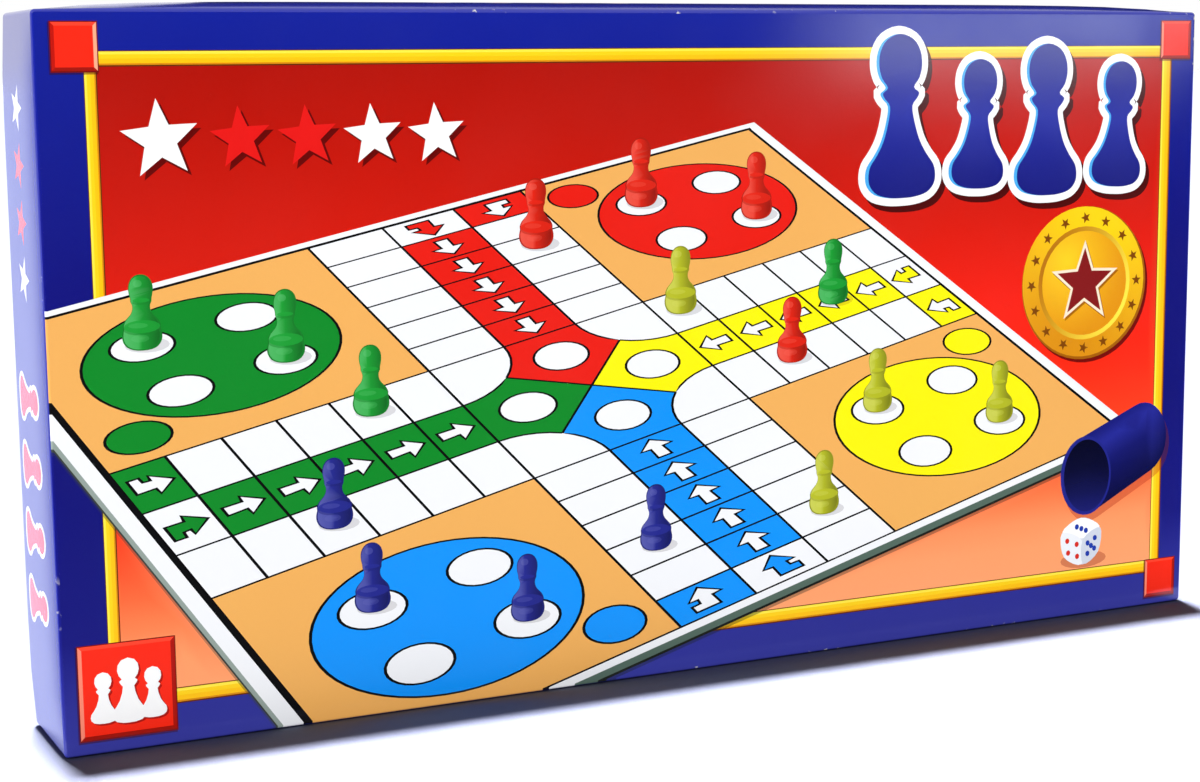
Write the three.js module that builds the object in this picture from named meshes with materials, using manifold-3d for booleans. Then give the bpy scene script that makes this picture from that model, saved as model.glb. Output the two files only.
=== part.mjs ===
// Folding ludo board box: a telescoping card box that stands on its long side, with a folding
// game board, a rules leaflet and a vacuum-formed tray of counters, dice cup and die inside.
// Millimetres. X runs across the box, Y from the printed front to the back, Z up.
// The origin is under the middle of the box, on the surface that it stands on.

import * as THREE from "three";
import { mergeVertices } from "three/addons/utils/BufferGeometryUtils.js";
import Module from "manifold-3d";

const wasm = await Module();
wasm.setup();

// Outside of the closed box
const boxWidth = 364;
const boxHeight = 190;
const boxDepth = 35;

// Lid and base, both of grey board with the printed sheet glued on
const boxWall = 1.2;
const boxCornerRadius = 1.2;
const boxFoldRadius = 0.8;
const boxInsideRadius = 0.4;
const lidFit = 0.4;
const lidSkirtShortfall = 0.6;

// Clearances shared by the packed pieces
const seatGap = 0.3;
const glueGap = 0.05;

// Game board: two stiff halves, square together when open
const boardSide = 355;
const boardThickness = 1.8;
const boardCornerRadius = 2;
const boardEdgeRadius = 0.4;
const boardFaceGap = 0.4;
const boardSplit = 0.5;

// Cloth tape over the fold of the game board
const tapeThickness = 0.25;
const tapeReach = 11;
const tapeEndInset = 2;

// Rules leaflet: one sheet folded once
const leafletWidth = 210;
const leafletHeight = 148;
const leafThickness = 0.15;
const leafGap = 0.1;

// Formed tray
const traySheet = 0.8;
const trayFit = 0.4;
const trayTopSlack = 0.5;
const trayCornerRadius = 4;
const trayEdgeRadius = 1.6;
const trayDraft = Math.tan(THREE.MathUtils.degToRad(5));
const wellFit = 0.35;
const wellEndSlack = 1;
const pocketCornerRadius = 3;
const pocketFloorRadius = 1.5;
const fingerBayWidth = 14;
const pocketPitchX = 230;
const pocketPitchZ = 88;

// Stiffening grooves pressed into the tray's deck
const grooveWidth = 5;
const grooveDepth = 1.6;
const rimGrooveInset = 8;
const sideGrooveX = 62;
const sideGrooveLength = 118;

// Counters
const counterHeight = 24;
const counterPitch = 15;
const countersPerColour = 4;

// Dice cup
const cupLength = 48;
const cupLipDiameter = 24.6;
const cupBodyDiameter = 22.6;
const cupBodyTaper = 0.5;
const cupWall = 1.2;
const cupLipHeight = 2.4;
const cupFootHeight = 3;
const cupEdgeRadius = 0.5;
const cupWellZ = -34;
const cupScoopDiameter = 46;
const cupScoopDepth = 13;

// Die
const dieSize = 12;
const dieCornerRadius = 2.4;
const dieEdgeRadius = 1.5;
const pipDiameter = 2;
const pipFloorDiameter = 1.1;
const pipDepth = 0.5;
const pipPitch = 3;
const dieWellZ = 44;
const dieBayWidth = 13;
const dieBayDepth = 8;

// Smoothness of round forms, and how far a cut runs past what it cuts
const roundSteps = 2;
const counterSides = 12;
const cupSides = 28;
const cradleSteps = 3;
const cupTroughSteps = 5;
const pipSides = 8;
const overrun = 4;

// The counter's outline from the foot up, as shares of its height
const counterShares = {
  dishDepth: 0.03,
  dishRadius: 0.14,
  footRadius: 0.19,
  baseRadius: 0.26,
  baseTop: 0.15,
  shoulderBulge: 0.27,
  shoulderRadius: 0.15,
  shoulderTop: 0.42,
  neckRadius: 0.1,
  neckBend: 0.48,
  neckTop: 0.57,
  collarRadius: 0.137,
  collarFoot: 0.62,
  collarTop: 0.66,
  headRadius: 0.17,
};

// Sizes that follow from the ones above
const frontY = -boxDepth / 2;
const backY = boxDepth / 2;
const baseInset = boxWall + lidFit;
const baseWidth = boxWidth - 2 * baseInset;
const baseHeight = boxHeight - 2 * baseInset;
const baseInsideWidth = baseWidth - 2 * boxWall;
const baseInsideHeight = baseHeight - 2 * boxWall;
const floorZ = baseInset + boxWall + seatGap;

const tapeFrontY = frontY + boxWall + seatGap;
const frontHalfY = tapeFrontY + tapeThickness + glueGap;
const rearHalfY = frontHalfY + boardThickness + boardFaceGap;
const tapeBackY = rearHalfY + boardThickness + glueGap + tapeThickness;
const boardHalfHeight = (boardSide - boardSplit) / 2;
const boardTopZ = floorZ + boardHalfHeight;
const foldY = rearHalfY - boardFaceGap / 2;
const foldZ = boardTopZ + boardSplit / 2;

const leafletThickness = 2 * leafThickness + leafGap;
const leafletY = tapeBackY + seatGap;
const trayY = leafletY + leafletThickness + seatGap;
const trayDepth = backY - boxWall - seatGap - trayY;
const trayWidth = baseInsideWidth - 2 * trayFit;
const trayHeight = baseInsideHeight - seatGap - trayTopSlack;
const trayMiddleZ = floorZ + trayHeight / 2;

const counterRadius = counterShares.baseRadius * counterHeight;
const cradleRadius = counterRadius + wellFit;
const cradleAxisDepth = cradleRadius + wellFit;
const cradleLength = counterHeight + seatGap + wellEndSlack;
const cradlesWidth = countersPerColour * counterPitch;

const cupTroughRadius = cupLipDiameter / 2 + wellFit;
const cupAxisDepth = trayDepth - traySheet - cupTroughRadius;
const cupTroughLength = cupLength + 2 * seatGap;
const dieWellDepth = dieSize + 2 * wellFit;
const dieWellSide = dieSize + 2 * seatGap + 2 * trayDraft * dieWellDepth;

// Colour and roughness of each material
const looks = {
  laminatedBlue: { color: 0x1b2090, roughness: 0.25 },
  insideBlue: { color: 0x2a3aa0, roughness: 0.4 },
  gameBoard: { color: 0xedaa5a, roughness: 0.35 },
  clothTape: { color: 0x2b2b33, roughness: 0.7 },
  paper: { color: 0xf3f1ea, roughness: 0.6 },
  formedSheet: { color: 0xf5f5f2, roughness: 0.35 },
  red: { color: 0xe02a1c, roughness: 0.3 },
  green: { color: 0x1f9a3c, roughness: 0.3 },
  yellow: { color: 0xd8d22c, roughness: 0.3 },
  blue: { color: 0x1c2690, roughness: 0.3 },
  cup: { color: 0x10165c, roughness: 0.35 },
  die: { color: 0xf7f7f4, roughness: 0.25 },
};

// Solids and meshes

function solidOf(geometry) {
  const bare = geometry.clone();
  bare.deleteAttribute("normal");
  bare.deleteAttribute("uv");
  const merged = mergeVertices(bare);
  return new wasm.Manifold(
    new wasm.Mesh({
      numProp: 3,
      vertProperties: merged.attributes.position.array,
      triVerts: new Uint32Array(merged.index.array),
    }),
  );
}

function geometryOf(solid) {
  const made = solid.getMesh();
  const geometry = new THREE.BufferGeometry();
  geometry.setAttribute("position", new THREE.BufferAttribute(made.vertProperties, 3));
  geometry.setIndex(new THREE.BufferAttribute(made.triVerts, 1));
  geometry.computeVertexNormals();
  return geometry;
}

function join(geometries) {
  return geometries.map(solidOf).reduce((whole, next) => whole.add(next));
}

function piece(name, geometry, look) {
  const material = new THREE.MeshStandardMaterial({ ...look, metalness: 0 });
  const mesh = new THREE.Mesh(geometry, material);
  mesh.name = name;
  return mesh;
}

// A rectangle round the origin with its corners rounded
function roundedRect(width, height, radius) {
  const x = width / 2;
  const y = height / 2;
  const shape = new THREE.Shape();
  shape.moveTo(radius - x, -y);
  shape.lineTo(x - radius, -y);
  shape.absarc(x - radius, radius - y, radius, -Math.PI / 2, 0, false);
  shape.lineTo(x, y - radius);
  shape.absarc(x - radius, y - radius, radius, 0, Math.PI / 2, false);
  shape.lineTo(radius - x, y);
  shape.absarc(radius - x, y - radius, radius, Math.PI / 2, Math.PI, false);
  shape.lineTo(-x, radius - y);
  shape.absarc(radius - x, radius - y, radius, Math.PI, 1.5 * Math.PI, false);
  return shape;
}

// A shape of the XZ plane, made solid from y = 0 back to depth, with its two end edges rounded
function extrudeBack(shape, depth, round = 0) {
  const geometry = new THREE.ExtrudeGeometry(shape, {
    depth: depth - 2 * round,
    curveSegments: roundSteps,
    bevelEnabled: round > 0,
    bevelThickness: round,
    bevelSize: round,
    bevelOffset: -round,
    bevelSegments: roundSteps,
  });
  return geometry.rotateX(Math.PI / 2).translate(0, depth - round, 0);
}

// A shape of the YZ plane, made solid along X round the origin
function extrudeAcross(shape, length) {
  const geometry = new THREE.ExtrudeGeometry(shape, {
    depth: length,
    curveSegments: roundSteps,
    bevelEnabled: false,
  });
  const turned = new THREE.Matrix4().makeBasis(
    new THREE.Vector3(0, 1, 0),
    new THREE.Vector3(0, 0, 1),
    new THREE.Vector3(1, 0, 0),
  );
  return geometry.applyMatrix4(turned).translate(-length / 2, 0, 0);
}

// Lid and base: a panel at y = 0 with four walls back to depth, open there
function cardShell(width, height, depth) {
  const outer = extrudeBack(
    roundedRect(width, height, boxCornerRadius),
    depth + overrun,
    boxFoldRadius,
  );
  const inner = extrudeBack(
    roundedRect(width - 2 * boxWall, height - 2 * boxWall, boxInsideRadius),
    depth + overrun,
  ).translate(0, boxWall, 0);
  const behind = new THREE.BoxGeometry(width + overrun, 2 * overrun, height + overrun);
  behind.translate(0, depth + overrun, 0);
  return solidOf(outer).subtract(solidOf(inner)).subtract(solidOf(behind));
}

function makeLid() {
  const shell = cardShell(boxWidth, boxHeight, boxDepth - lidSkirtShortfall);
  const lid = piece("lid", geometryOf(shell), looks.laminatedBlue);
  lid.position.set(0, frontY, boxHeight / 2);
  return lid;
}

function makeBase() {
  const shell = cardShell(baseWidth, baseHeight, boxDepth - boxWall - seatGap);
  const base = piece("base", geometryOf(shell), looks.insideBlue);
  base.rotation.z = Math.PI;
  base.position.set(0, backY, boxHeight / 2);
  return base;
}

// Game board

// One half with its fold edge along the top at z = 0 and its outer corners rounded
function boardHalfShape() {
  const x = boardSide / 2;
  const r = boardCornerRadius;
  const shape = new THREE.Shape();
  shape.moveTo(r - x, -boardHalfHeight);
  shape.lineTo(x - r, -boardHalfHeight);
  shape.absarc(x - r, r - boardHalfHeight, r, -Math.PI / 2, 0, false);
  shape.lineTo(x, 0);
  shape.lineTo(-x, 0);
  shape.lineTo(-x, r - boardHalfHeight);
  shape.absarc(r - x, r - boardHalfHeight, r, Math.PI, 1.5 * Math.PI, false);
  return shape;
}

function makeBoardHalf(name, y) {
  const geometry = extrudeBack(boardHalfShape(), boardThickness, boardEdgeRadius);
  const half = piece(name, geometry, looks.gameBoard);
  half.position.set(0, y - foldY, boardTopZ - foldZ);
  return half;
}

// The tape lies on both outer faces and over the edges between them
function makeHingeTape() {
  const front = tapeFrontY - foldY;
  const back = tapeBackY - foldY;
  const top = boardTopZ - foldZ + glueGap + tapeThickness;
  const bottom = boardTopZ - foldZ - tapeReach;
  const shape = new THREE.Shape();
  shape.moveTo(front, bottom);
  shape.lineTo(front + tapeThickness, bottom);
  shape.lineTo(front + tapeThickness, top - tapeThickness);
  shape.lineTo(back - tapeThickness, top - tapeThickness);
  shape.lineTo(back - tapeThickness, bottom);
  shape.lineTo(back, bottom);
  shape.lineTo(back, top - tapeThickness);
  shape.lineTo(back - tapeThickness, top);
  shape.lineTo(front + tapeThickness, top);
  shape.lineTo(front, top - tapeThickness);
  const geometry = extrudeAcross(shape, boardSide - 2 * tapeEndInset);
  return piece("board_hinge_tape", geometry, looks.clothTape);
}

// The group's origin is on the fold line
function makeBoard() {
  const board = new THREE.Group();
  board.position.set(0, foldY, foldZ);
  board.add(makeBoardHalf("board_half_front", frontHalfY));
  board.add(makeBoardHalf("board_half_rear", rearHalfY));
  board.add(makeHingeTape());
  return board;
}

// Rules leaflet, seen from above: two leaves joined by the fold at the left
function makeLeaflet() {
  const shape = new THREE.Shape();
  shape.moveTo(0, 0);
  shape.lineTo(leafletWidth, 0);
  shape.lineTo(leafletWidth, leafThickness);
  shape.lineTo(leafThickness, leafThickness);
  shape.lineTo(leafThickness, leafThickness + leafGap);
  shape.lineTo(leafletWidth, leafThickness + leafGap);
  shape.lineTo(leafletWidth, leafletThickness);
  shape.lineTo(0, leafletThickness);
  const geometry = new THREE.ExtrudeGeometry(shape, { depth: leafletHeight, bevelEnabled: false });
  const leaflet = piece("rules_leaflet", geometry, looks.paper);
  leaflet.position.set(-leafletWidth / 2, leafletY, floorZ);
  return leaflet;
}

// Formed tray. In its group y = 0 is the deck's face and the origin is in the middle of the deck.

// A pocket's space with drafted walls, from above the deck down to depth; skin grows it all round
function pocket(width, height, depth, skin) {
  const shape = roundedRect(width + 2 * skin, height + 2 * skin, pocketCornerRadius + skin);
  const geometry = extrudeBack(shape, depth + skin + overrun, pocketFloorRadius + skin);
  geometry.translate(0, -overrun, 0);
  const points = geometry.attributes.position;
  for (let i = 0; i < points.count; i++) {
    const inset = 2 * trayDraft * points.getY(i);
    points.setX(i, points.getX(i) * (1 - inset / (width + 2 * skin)));
    points.setZ(i, points.getZ(i) * (1 - inset / (height + 2 * skin)));
  }
  return geometry;
}

// A round-bottomed trough along Z, closed at both ends; its walls lean out above the axis
function trough(radius, axisDepth, length, steps, skin) {
  const r = radius + skin;
  const lip = r + trayDraft * (axisDepth + overrun);
  const shape = new THREE.Shape();
  shape.moveTo(lip, -overrun);
  shape.lineTo(r, axisDepth);
  shape.absarc(0, axisDepth, r, 0, Math.PI, false);
  shape.lineTo(-lip, -overrun);
  const long = length + 2 * skin;
  const geometry = new THREE.ExtrudeGeometry(shape, {
    depth: long,
    curveSegments: steps,
    bevelEnabled: false,
  });
  return geometry.translate(0, 0, -long / 2);
}

// The four colours' places on the tray, and the side on which each pocket has its finger bay
const pocketPlaces = [
  { colour: "green", side: -1, x: -pocketPitchX / 2, z: pocketPitchZ / 2 },
  { colour: "red", side: 1, x: pocketPitchX / 2, z: pocketPitchZ / 2 },
  { colour: "blue", side: -1, x: -pocketPitchX / 2, z: -pocketPitchZ / 2 },
  { colour: "yellow", side: 1, x: pocketPitchX / 2, z: -pocketPitchZ / 2 },
];

function cradleX(place, index) {
  return place.x + (index - (countersPerColour - 1) / 2) * counterPitch;
}

// One colour's pocket: a shallow tray over four cradles, and a deep bay for a finger beside them
function counterPocket(place, skin) {
  const draft = 2 * trayDraft * cradleAxisDepth;
  const bayDepth = cradleAxisDepth + cradleRadius;
  const bayX = place.x - place.side * (cradlesWidth + fingerBayWidth) / 2;
  const top = pocket(cradlesWidth + draft, cradleLength + draft, cradleAxisDepth, skin);
  const bay = pocket(fingerBayWidth + draft, cradleLength + draft, bayDepth, skin);
  const made = [top.translate(place.x, 0, place.z), bay.translate(bayX, 0, place.z)];
  for (let i = 0; i < countersPerColour; i++) {
    const cradle = trough(cradleRadius, cradleAxisDepth, cradleLength, cradleSteps, skin);
    made.push(cradle.translate(cradleX(place, i), 0, place.z));
  }
  return join(made);
}

// A round scoop with a drafted wall
function scoopOf(diameter, depth, skin) {
  const r = diameter / 2 + skin;
  const top = r + trayDraft * overrun;
  const bottom = r - trayDraft * (depth + skin);
  const high = depth + skin + overrun;
  const geometry = new THREE.CylinderGeometry(bottom, top, high, cupSides);
  return geometry.translate(0, high / 2 - overrun, 0);
}

function cupWell(skin) {
  const bed = trough(cupTroughRadius, cupAxisDepth, cupTroughLength, cupTroughSteps, skin);
  const scoop = scoopOf(cupScoopDiameter, cupScoopDepth, skin);
  return join([bed.rotateY(Math.PI / 2), scoop]).translate(0, 0, cupWellZ);
}


function dieWell(skin) {
  const well = pocket(dieWellSide, dieWellSide, dieWellDepth, skin);
  const bay = pocket(dieWellSide + 2 * dieBayWidth, dieWellSide, dieBayDepth, skin);
  return join([well, bay]).translate(0, 0, dieWellZ);
}

// Grooves round the rim and beside the middle wells
function grooves(skin) {
  const wide = trayWidth - 2 * rimGrooveInset + 2 * skin;
  const high = trayHeight - 2 * rimGrooveInset + 2 * skin;
  const band = grooveWidth + 2 * skin;
  const rim = roundedRect(wide, high, trayCornerRadius + skin);
  rim.holes.push(roundedRect(wide - 2 * band, high - 2 * band, trayCornerRadius));
  const long = grooveDepth + skin + overrun;
  const made = [extrudeBack(rim, long).translate(0, -overrun, 0)];
  for (const side of [-1, 1]) {
    const shape = roundedRect(band, sideGrooveLength + 2 * skin, band / 2);
    made.push(extrudeBack(shape, long).translate(side * sideGrooveX, -overrun, 0));
  }
  return made.map(solidOf);
}

// The hollows pressed into the tray, or with a skin the same forms one sheet larger
function trayHollows(skin) {
  const wells = pocketPlaces.map((place) => counterPocket(place, skin));
  return [...wells, cupWell(skin), dieWell(skin), ...grooves(skin)];
}

function makeTray() {
  const envelope = solidOf(
    extrudeBack(roundedRect(trayWidth, trayHeight, trayCornerRadius), trayDepth, trayEdgeRadius),
  );
  const underside = extrudeBack(
    roundedRect(
      trayWidth - 2 * traySheet,
      trayHeight - 2 * traySheet,
      trayCornerRadius - traySheet,
    ),
    trayDepth + overrun,
    trayEdgeRadius - traySheet,
  ).translate(0, traySheet, 0);
  let tray = envelope.subtract(solidOf(underside));
  for (const hollow of trayHollows(traySheet)) {
    tray = tray.add(hollow.intersect(envelope));
  }
  for (const hollow of trayHollows(0)) {
    tray = tray.subtract(hollow);
  }
  return piece("insert_tray", geometryOf(tray), looks.formedSheet);
}

// Counters

// Half of a counter's outline, from the axis at the foot to the axis at the crown
function counterOutline() {
  const size = {};
  for (const [name, share] of Object.entries(counterShares)) {
    size[name] = share * counterHeight;
  }
  const headZ = counterHeight - size.headRadius;
  const headStart = -Math.acos(size.neckRadius / size.headRadius);
  const path = new THREE.Path();
  path.moveTo(0, size.dishDepth);
  path.lineTo(size.dishRadius, 0);
  path.lineTo(size.footRadius, 0);
  path.quadraticCurveTo(size.baseRadius, 0, size.baseRadius, size.baseTop);
  path.quadraticCurveTo(
    size.baseRadius,
    size.shoulderBulge,
    size.shoulderRadius,
    size.shoulderTop,
  );
  path.quadraticCurveTo(size.neckRadius, size.neckBend, size.neckRadius, size.neckTop);
  path.lineTo(size.collarRadius, size.collarFoot);
  path.lineTo(size.collarRadius, size.collarTop);
  path.absarc(0, headZ, size.headRadius, headStart, Math.PI / 2, false);
  const points = path.getPoints(2);
  points[points.length - 1].x = 0;
  return points;
}

function makeCounters(place) {
  const group = new THREE.Group();
  const geometry = new THREE.LatheGeometry(counterOutline(), counterSides);
  geometry.rotateX(Math.PI / 2);
  for (let i = 0; i < countersPerColour; i++) {
    const name = "counter_" + place.colour + "_" + (i + 1);
    const counter = piece(name, geometry, looks[place.colour]);
    counter.position.set(
      cradleX(place, i),
      cradleAxisDepth,
      place.z - cradleLength / 2 + seatGap,
    );
    group.add(counter);
  }
  return group;
}

// Dice cup, lying in its well with its mouth to the left
function makeCup() {
  const lip = cupLipDiameter / 2;
  const body = cupBodyDiameter / 2;
  const foot = body - cupBodyTaper;
  const outline = [
    [0, 0],
    [lip - cupEdgeRadius, 0],
    [lip, cupEdgeRadius],
    [lip, cupFootHeight - cupEdgeRadius],
    [foot, cupFootHeight],
    [body, cupLength - cupLipHeight],
    [lip, cupLength - cupLipHeight],
    [lip, cupLength - cupEdgeRadius],
    [lip - cupEdgeRadius, cupLength],
    [body - cupWall, cupLength],
    [foot - cupWall, cupWall + cupEdgeRadius],
    [foot - cupWall - cupEdgeRadius, cupWall],
    [0, cupWall],
  ];
  const points = outline.map(([x, y]) => new THREE.Vector2(x, y));
  const geometry = new THREE.LatheGeometry(points, cupSides);
  geometry.rotateZ(Math.PI / 2);
  const cup = piece("dice_cup", geometry, looks.cup);
  cup.position.set(cupLength / 2, cupAxisDepth, cupWellZ);
  return cup;
}

// Die

// Places of the pips on a face, in steps of the pip pitch
const pipPlaces = {
  1: [[0, 0]],
  2: [[-1, -1], [1, 1]],
  3: [[-1, -1], [0, 0], [1, 1]],
  4: [[-1, -1], [-1, 1], [1, -1], [1, 1]],
  5: [[-1, -1], [-1, 1], [0, 0], [1, -1], [1, 1]],
  6: [[-1, -1], [-1, 0], [-1, 1], [1, -1], [1, 0], [1, 1]],
};

// Turns that bring the face at +Z to each side; opposite faces add up to seven
const dieFaces = [
  { pips: 1, turn: [0, 0] },
  { pips: 6, turn: [Math.PI, 0] },
  { pips: 2, turn: [Math.PI / 2, 0] },
  { pips: 5, turn: [-Math.PI / 2, 0] },
  { pips: 3, turn: [0, Math.PI / 2] },
  { pips: 4, turn: [0, -Math.PI / 2] },
];

// The dished hole of one pip below z = 0, with its cone carried on above the face
function pipDish() {
  const slope = (pipDiameter - pipFloorDiameter) / 2 / pipDepth;
  const top = pipDiameter / 2 + slope * pipDepth;
  const dish = new THREE.CylinderGeometry(top, pipFloorDiameter / 2, 2 * pipDepth, pipSides);
  return dish.rotateX(Math.PI / 2);
}

function makeDie() {
  const cube = extrudeBack(roundedRect(dieSize, dieSize, dieCornerRadius), dieSize, dieEdgeRadius);
  let die = solidOf(cube.translate(0, -dieSize / 2, 0));
  for (const face of dieFaces) {
    for (const [across, up] of pipPlaces[face.pips]) {
      const pip = pipDish().translate(across * pipPitch, up * pipPitch, dieSize / 2);
      die = die.subtract(solidOf(pip.rotateX(face.turn[0]).rotateY(face.turn[1])));
    }
  }
  const mesh = piece("die", geometryOf(die), looks.die);
  const restZ = dieWellZ - dieWellSide / 2 + trayDraft * dieWellDepth + seatGap + dieSize / 2;
  mesh.position.set(0, wellFit + dieSize / 2, restZ);
  return mesh;
}

// Everything that the tray carries keeps to the tray's own middle and deck
function makeTrayGroup() {
  const group = new THREE.Group();
  group.position.set(0, trayY, trayMiddleZ);
  group.add(makeTray());
  for (const place of pocketPlaces) {
    group.add(makeCounters(place));
  }
  group.add(makeCup());
  group.add(makeDie());
  return group;
}

const ludoBox = new THREE.Group();
ludoBox.add(makeLid());
ludoBox.add(makeBase());
ludoBox.add(makeBoard());
ludoBox.add(makeLeaflet());
ludoBox.add(makeTrayGroup());

export default ludoBox;
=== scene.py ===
"""Looks for the folding ludo board box: printed lid and base, game board, tray and loose pieces."""

import bisect
import math

import bmesh
import bpy
import numpy as np
from mathutils import Matrix, Vector
from mathutils.geometry import delaunay_2d_cdt


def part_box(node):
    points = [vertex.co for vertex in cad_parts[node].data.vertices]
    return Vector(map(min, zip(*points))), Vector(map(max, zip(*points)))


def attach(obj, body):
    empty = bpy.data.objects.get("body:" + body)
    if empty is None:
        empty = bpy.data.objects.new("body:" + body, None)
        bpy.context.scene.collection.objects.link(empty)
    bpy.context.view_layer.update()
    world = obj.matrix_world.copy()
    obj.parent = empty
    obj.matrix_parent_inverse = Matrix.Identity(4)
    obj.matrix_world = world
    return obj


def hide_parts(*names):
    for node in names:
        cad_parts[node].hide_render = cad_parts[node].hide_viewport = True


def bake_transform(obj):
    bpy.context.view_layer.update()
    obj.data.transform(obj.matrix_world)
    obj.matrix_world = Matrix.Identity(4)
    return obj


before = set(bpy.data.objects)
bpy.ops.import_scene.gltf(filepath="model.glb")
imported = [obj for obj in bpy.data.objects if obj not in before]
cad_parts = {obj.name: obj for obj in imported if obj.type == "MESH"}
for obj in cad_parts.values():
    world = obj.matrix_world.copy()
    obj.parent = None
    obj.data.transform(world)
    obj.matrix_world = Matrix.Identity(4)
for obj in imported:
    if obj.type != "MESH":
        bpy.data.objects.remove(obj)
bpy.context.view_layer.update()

MM = 0.001
# Decimals of a millimetre at which two corners are one vertex, and how near points on a sheet are one
WELD_DIGITS = 3
CDT_NEAR = 1e-5


def new_object(name, data):
    obj = bpy.data.objects.new(name, data)
    bpy.context.scene.collection.objects.link(obj)
    return obj


def new_mesh(name, places, faces, material):
    mesh = bpy.data.meshes.new(name)
    mesh.from_pydata(places, [], faces)
    mesh.materials.append(material)
    return mesh


def stands_for(obj, node, body):
    """Puts a finished piece in the place of a CAD solid."""
    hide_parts(node)
    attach(obj, body)


# Camera of the photograph
CAMERA_PLACE = (-0.2960, -0.5706, 0.1732)
CAMERA_TURN = (81.78, 0.584, -25.914)
CAMERA_LENS = 66.21
CAMERA_SENSOR = 36.0


def make_camera():
    data = bpy.data.cameras.new("camera")
    data.lens = CAMERA_LENS
    data.sensor_width = CAMERA_SENSOR
    data.clip_start = 0.01
    camera = new_object("camera", data)
    camera.location = CAMERA_PLACE
    camera.rotation_euler = [math.radians(a) for a in CAMERA_TURN]
    bpy.context.scene.camera = camera


make_camera()


# Colours are written as screen values from 0 to 255


def to_linear(rgb):
    return [((v / 255 + 0.055) / 1.055) ** 2.4 if v > 10 else max(v, 0) / 255 / 12.92 for v in rgb]


def mix(a, b, t):
    return tuple(p + (q - p) * t for p, q in zip(a[:3], b[:3]))


def ramp(stops, t):
    """The colour at t of a list of (place, colour) in rising order."""
    for (t0, c0), (t1, c1) in zip(stops, stops[1:]):
        if t <= t1:
            return mix(c0, c1, min(max((t - t0) / (t1 - t0), 0), 1))
    return stops[-1][1]


# Flat shapes

STAR_WAIST = 0.42


def box(x0, y0, x1, y1):
    return [(x0, y0), (x1, y0), (x1, y1), (x0, y1)]


def placed(points, x, y, scale=1.0, turn=0.0, squeeze=1.0):
    c, s = math.cos(turn), math.sin(turn)
    out = []
    for p, q in points:
        p, q = p * scale * squeeze, q * scale
        out.append((x + p * c - q * s, y + p * s + q * c))
    return out


def angles(start, end, steps):
    """Angles in radians between two in degrees, both included."""
    return [math.radians(start + (end - start) * k / steps) for k in range(steps + 1)]


def disc(x, y, rx, ry=None, steps=28, turn=0.0):
    ry = rx if ry is None else ry
    round_angles = [2 * math.pi * i / steps for i in range(steps)]
    return placed([(rx * math.cos(a), ry * math.sin(a)) for a in round_angles], x, y, turn=turn)


def star(x, y, radius, turn=0.0):
    out = []
    for i in range(10):
        a = math.pi * i / 5 + math.pi / 2 + turn
        r = radius if i % 2 == 0 else radius * STAR_WAIST
        out.append((x + r * math.cos(a), y + r * math.sin(a)))
    return out


def signed_area(points):
    return sum(p[0] * q[1] - q[0] * p[1] for p, q in zip(points, points[1:] + points[:1])) / 2


def ribbon(points, width):
    """An open line with a width."""
    sides = ([], [])
    for i, (x, y) in enumerate(points):
        x0, y0 = points[max(i - 1, 0)]
        x1, y1 = points[min(i + 1, len(points) - 1)]
        d = math.hypot(x1 - x0, y1 - y0)
        nx, ny = (y0 - y1) / d * width / 2, (x1 - x0) / d * width / 2
        sides[0].append((x + nx, y + ny))
        sides[1].append((x - nx, y - ny))
    return sides[0] + sides[1][::-1]


def grown(points, by):
    """A closed shape with its border moved outwards."""
    if signed_area(points) < 0:
        points = points[::-1]
    out = []
    for i, (x, y) in enumerate(points):
        x0, y0 = points[i - 1]
        x1, y1 = points[(i + 1) % len(points)]
        a = Vector((y - y0, x0 - x)).normalized()
        b = Vector((y1 - y, x - x1)).normalized()
        m = a + b
        m *= by / max(m.dot(a), 0.5)
        out.append((x + m.x, y + m.y))
    return out


class Sheet:
    """Flat shapes in millimetres, laid over each other in turn. The first one is the sheet itself."""

    def __init__(self, outline, ink, origin=(0, 0)):
        self.shapes = [(list(outline), ink)]
        self.origin = origin
        self.points = []
        self.folds = []

    def add(self, outline, ink):
        """Lays a shape down. It and an ink that varies are measured from the sheet's origin."""
        x0, y0 = self.origin
        outline = [(x + x0, y + y0) for x, y in outline]
        if signed_area(outline) < 0:
            outline.reverse()
        moved = (lambda x, y: ink(x - x0, y - y0)) if callable(ink) else ink
        self.shapes.append((outline, moved))

    def grid(self, x0, y0, x1, y1, step):
        """Points for a smooth change of colour or height."""
        nx, ny = max(round((x1 - x0) / step), 1), max(round((y1 - y0) / step), 1)
        for i in range(nx + 1):
            for j in range(ny + 1):
                self.points.append((x0 + (x1 - x0) * i / nx, y0 + (y1 - y0) * j / ny))

    def ink(self, x, y, layers):
        colour = (255, 255, 255)
        for k in layers:
            value = self.shapes[k][1]
            value = value(x, y) if callable(value) else value
            colour = mix(colour, value, value[3] if len(value) > 3 else 1)
        return colour

    def composed(self):
        """The sheet's points, its triangles and the inks at their corners."""
        points, faces = [], []
        for outline, _ in self.shapes:
            faces.append(list(range(len(points), len(points) + len(outline))))
            points += outline
        points += self.points
        edges = []
        for a, b in self.folds:
            edges.append((len(points), len(points) + 1))
            points += [a, b]
        made = delaunay_2d_cdt([Vector(p) for p in points], edges, faces, 0, CDT_NEAR)
        places = [(p.x, p.y) for p in made[0]]
        triangles, inks = [], []
        for corners, owners in zip(made[2], made[5]):
            if 0 in owners:
                layers = sorted(set(owners))
                triangles.append(tuple(corners))
                inks.append([self.ink(*places[i], layers) for i in corners])
        return places, triangles, inks


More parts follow.
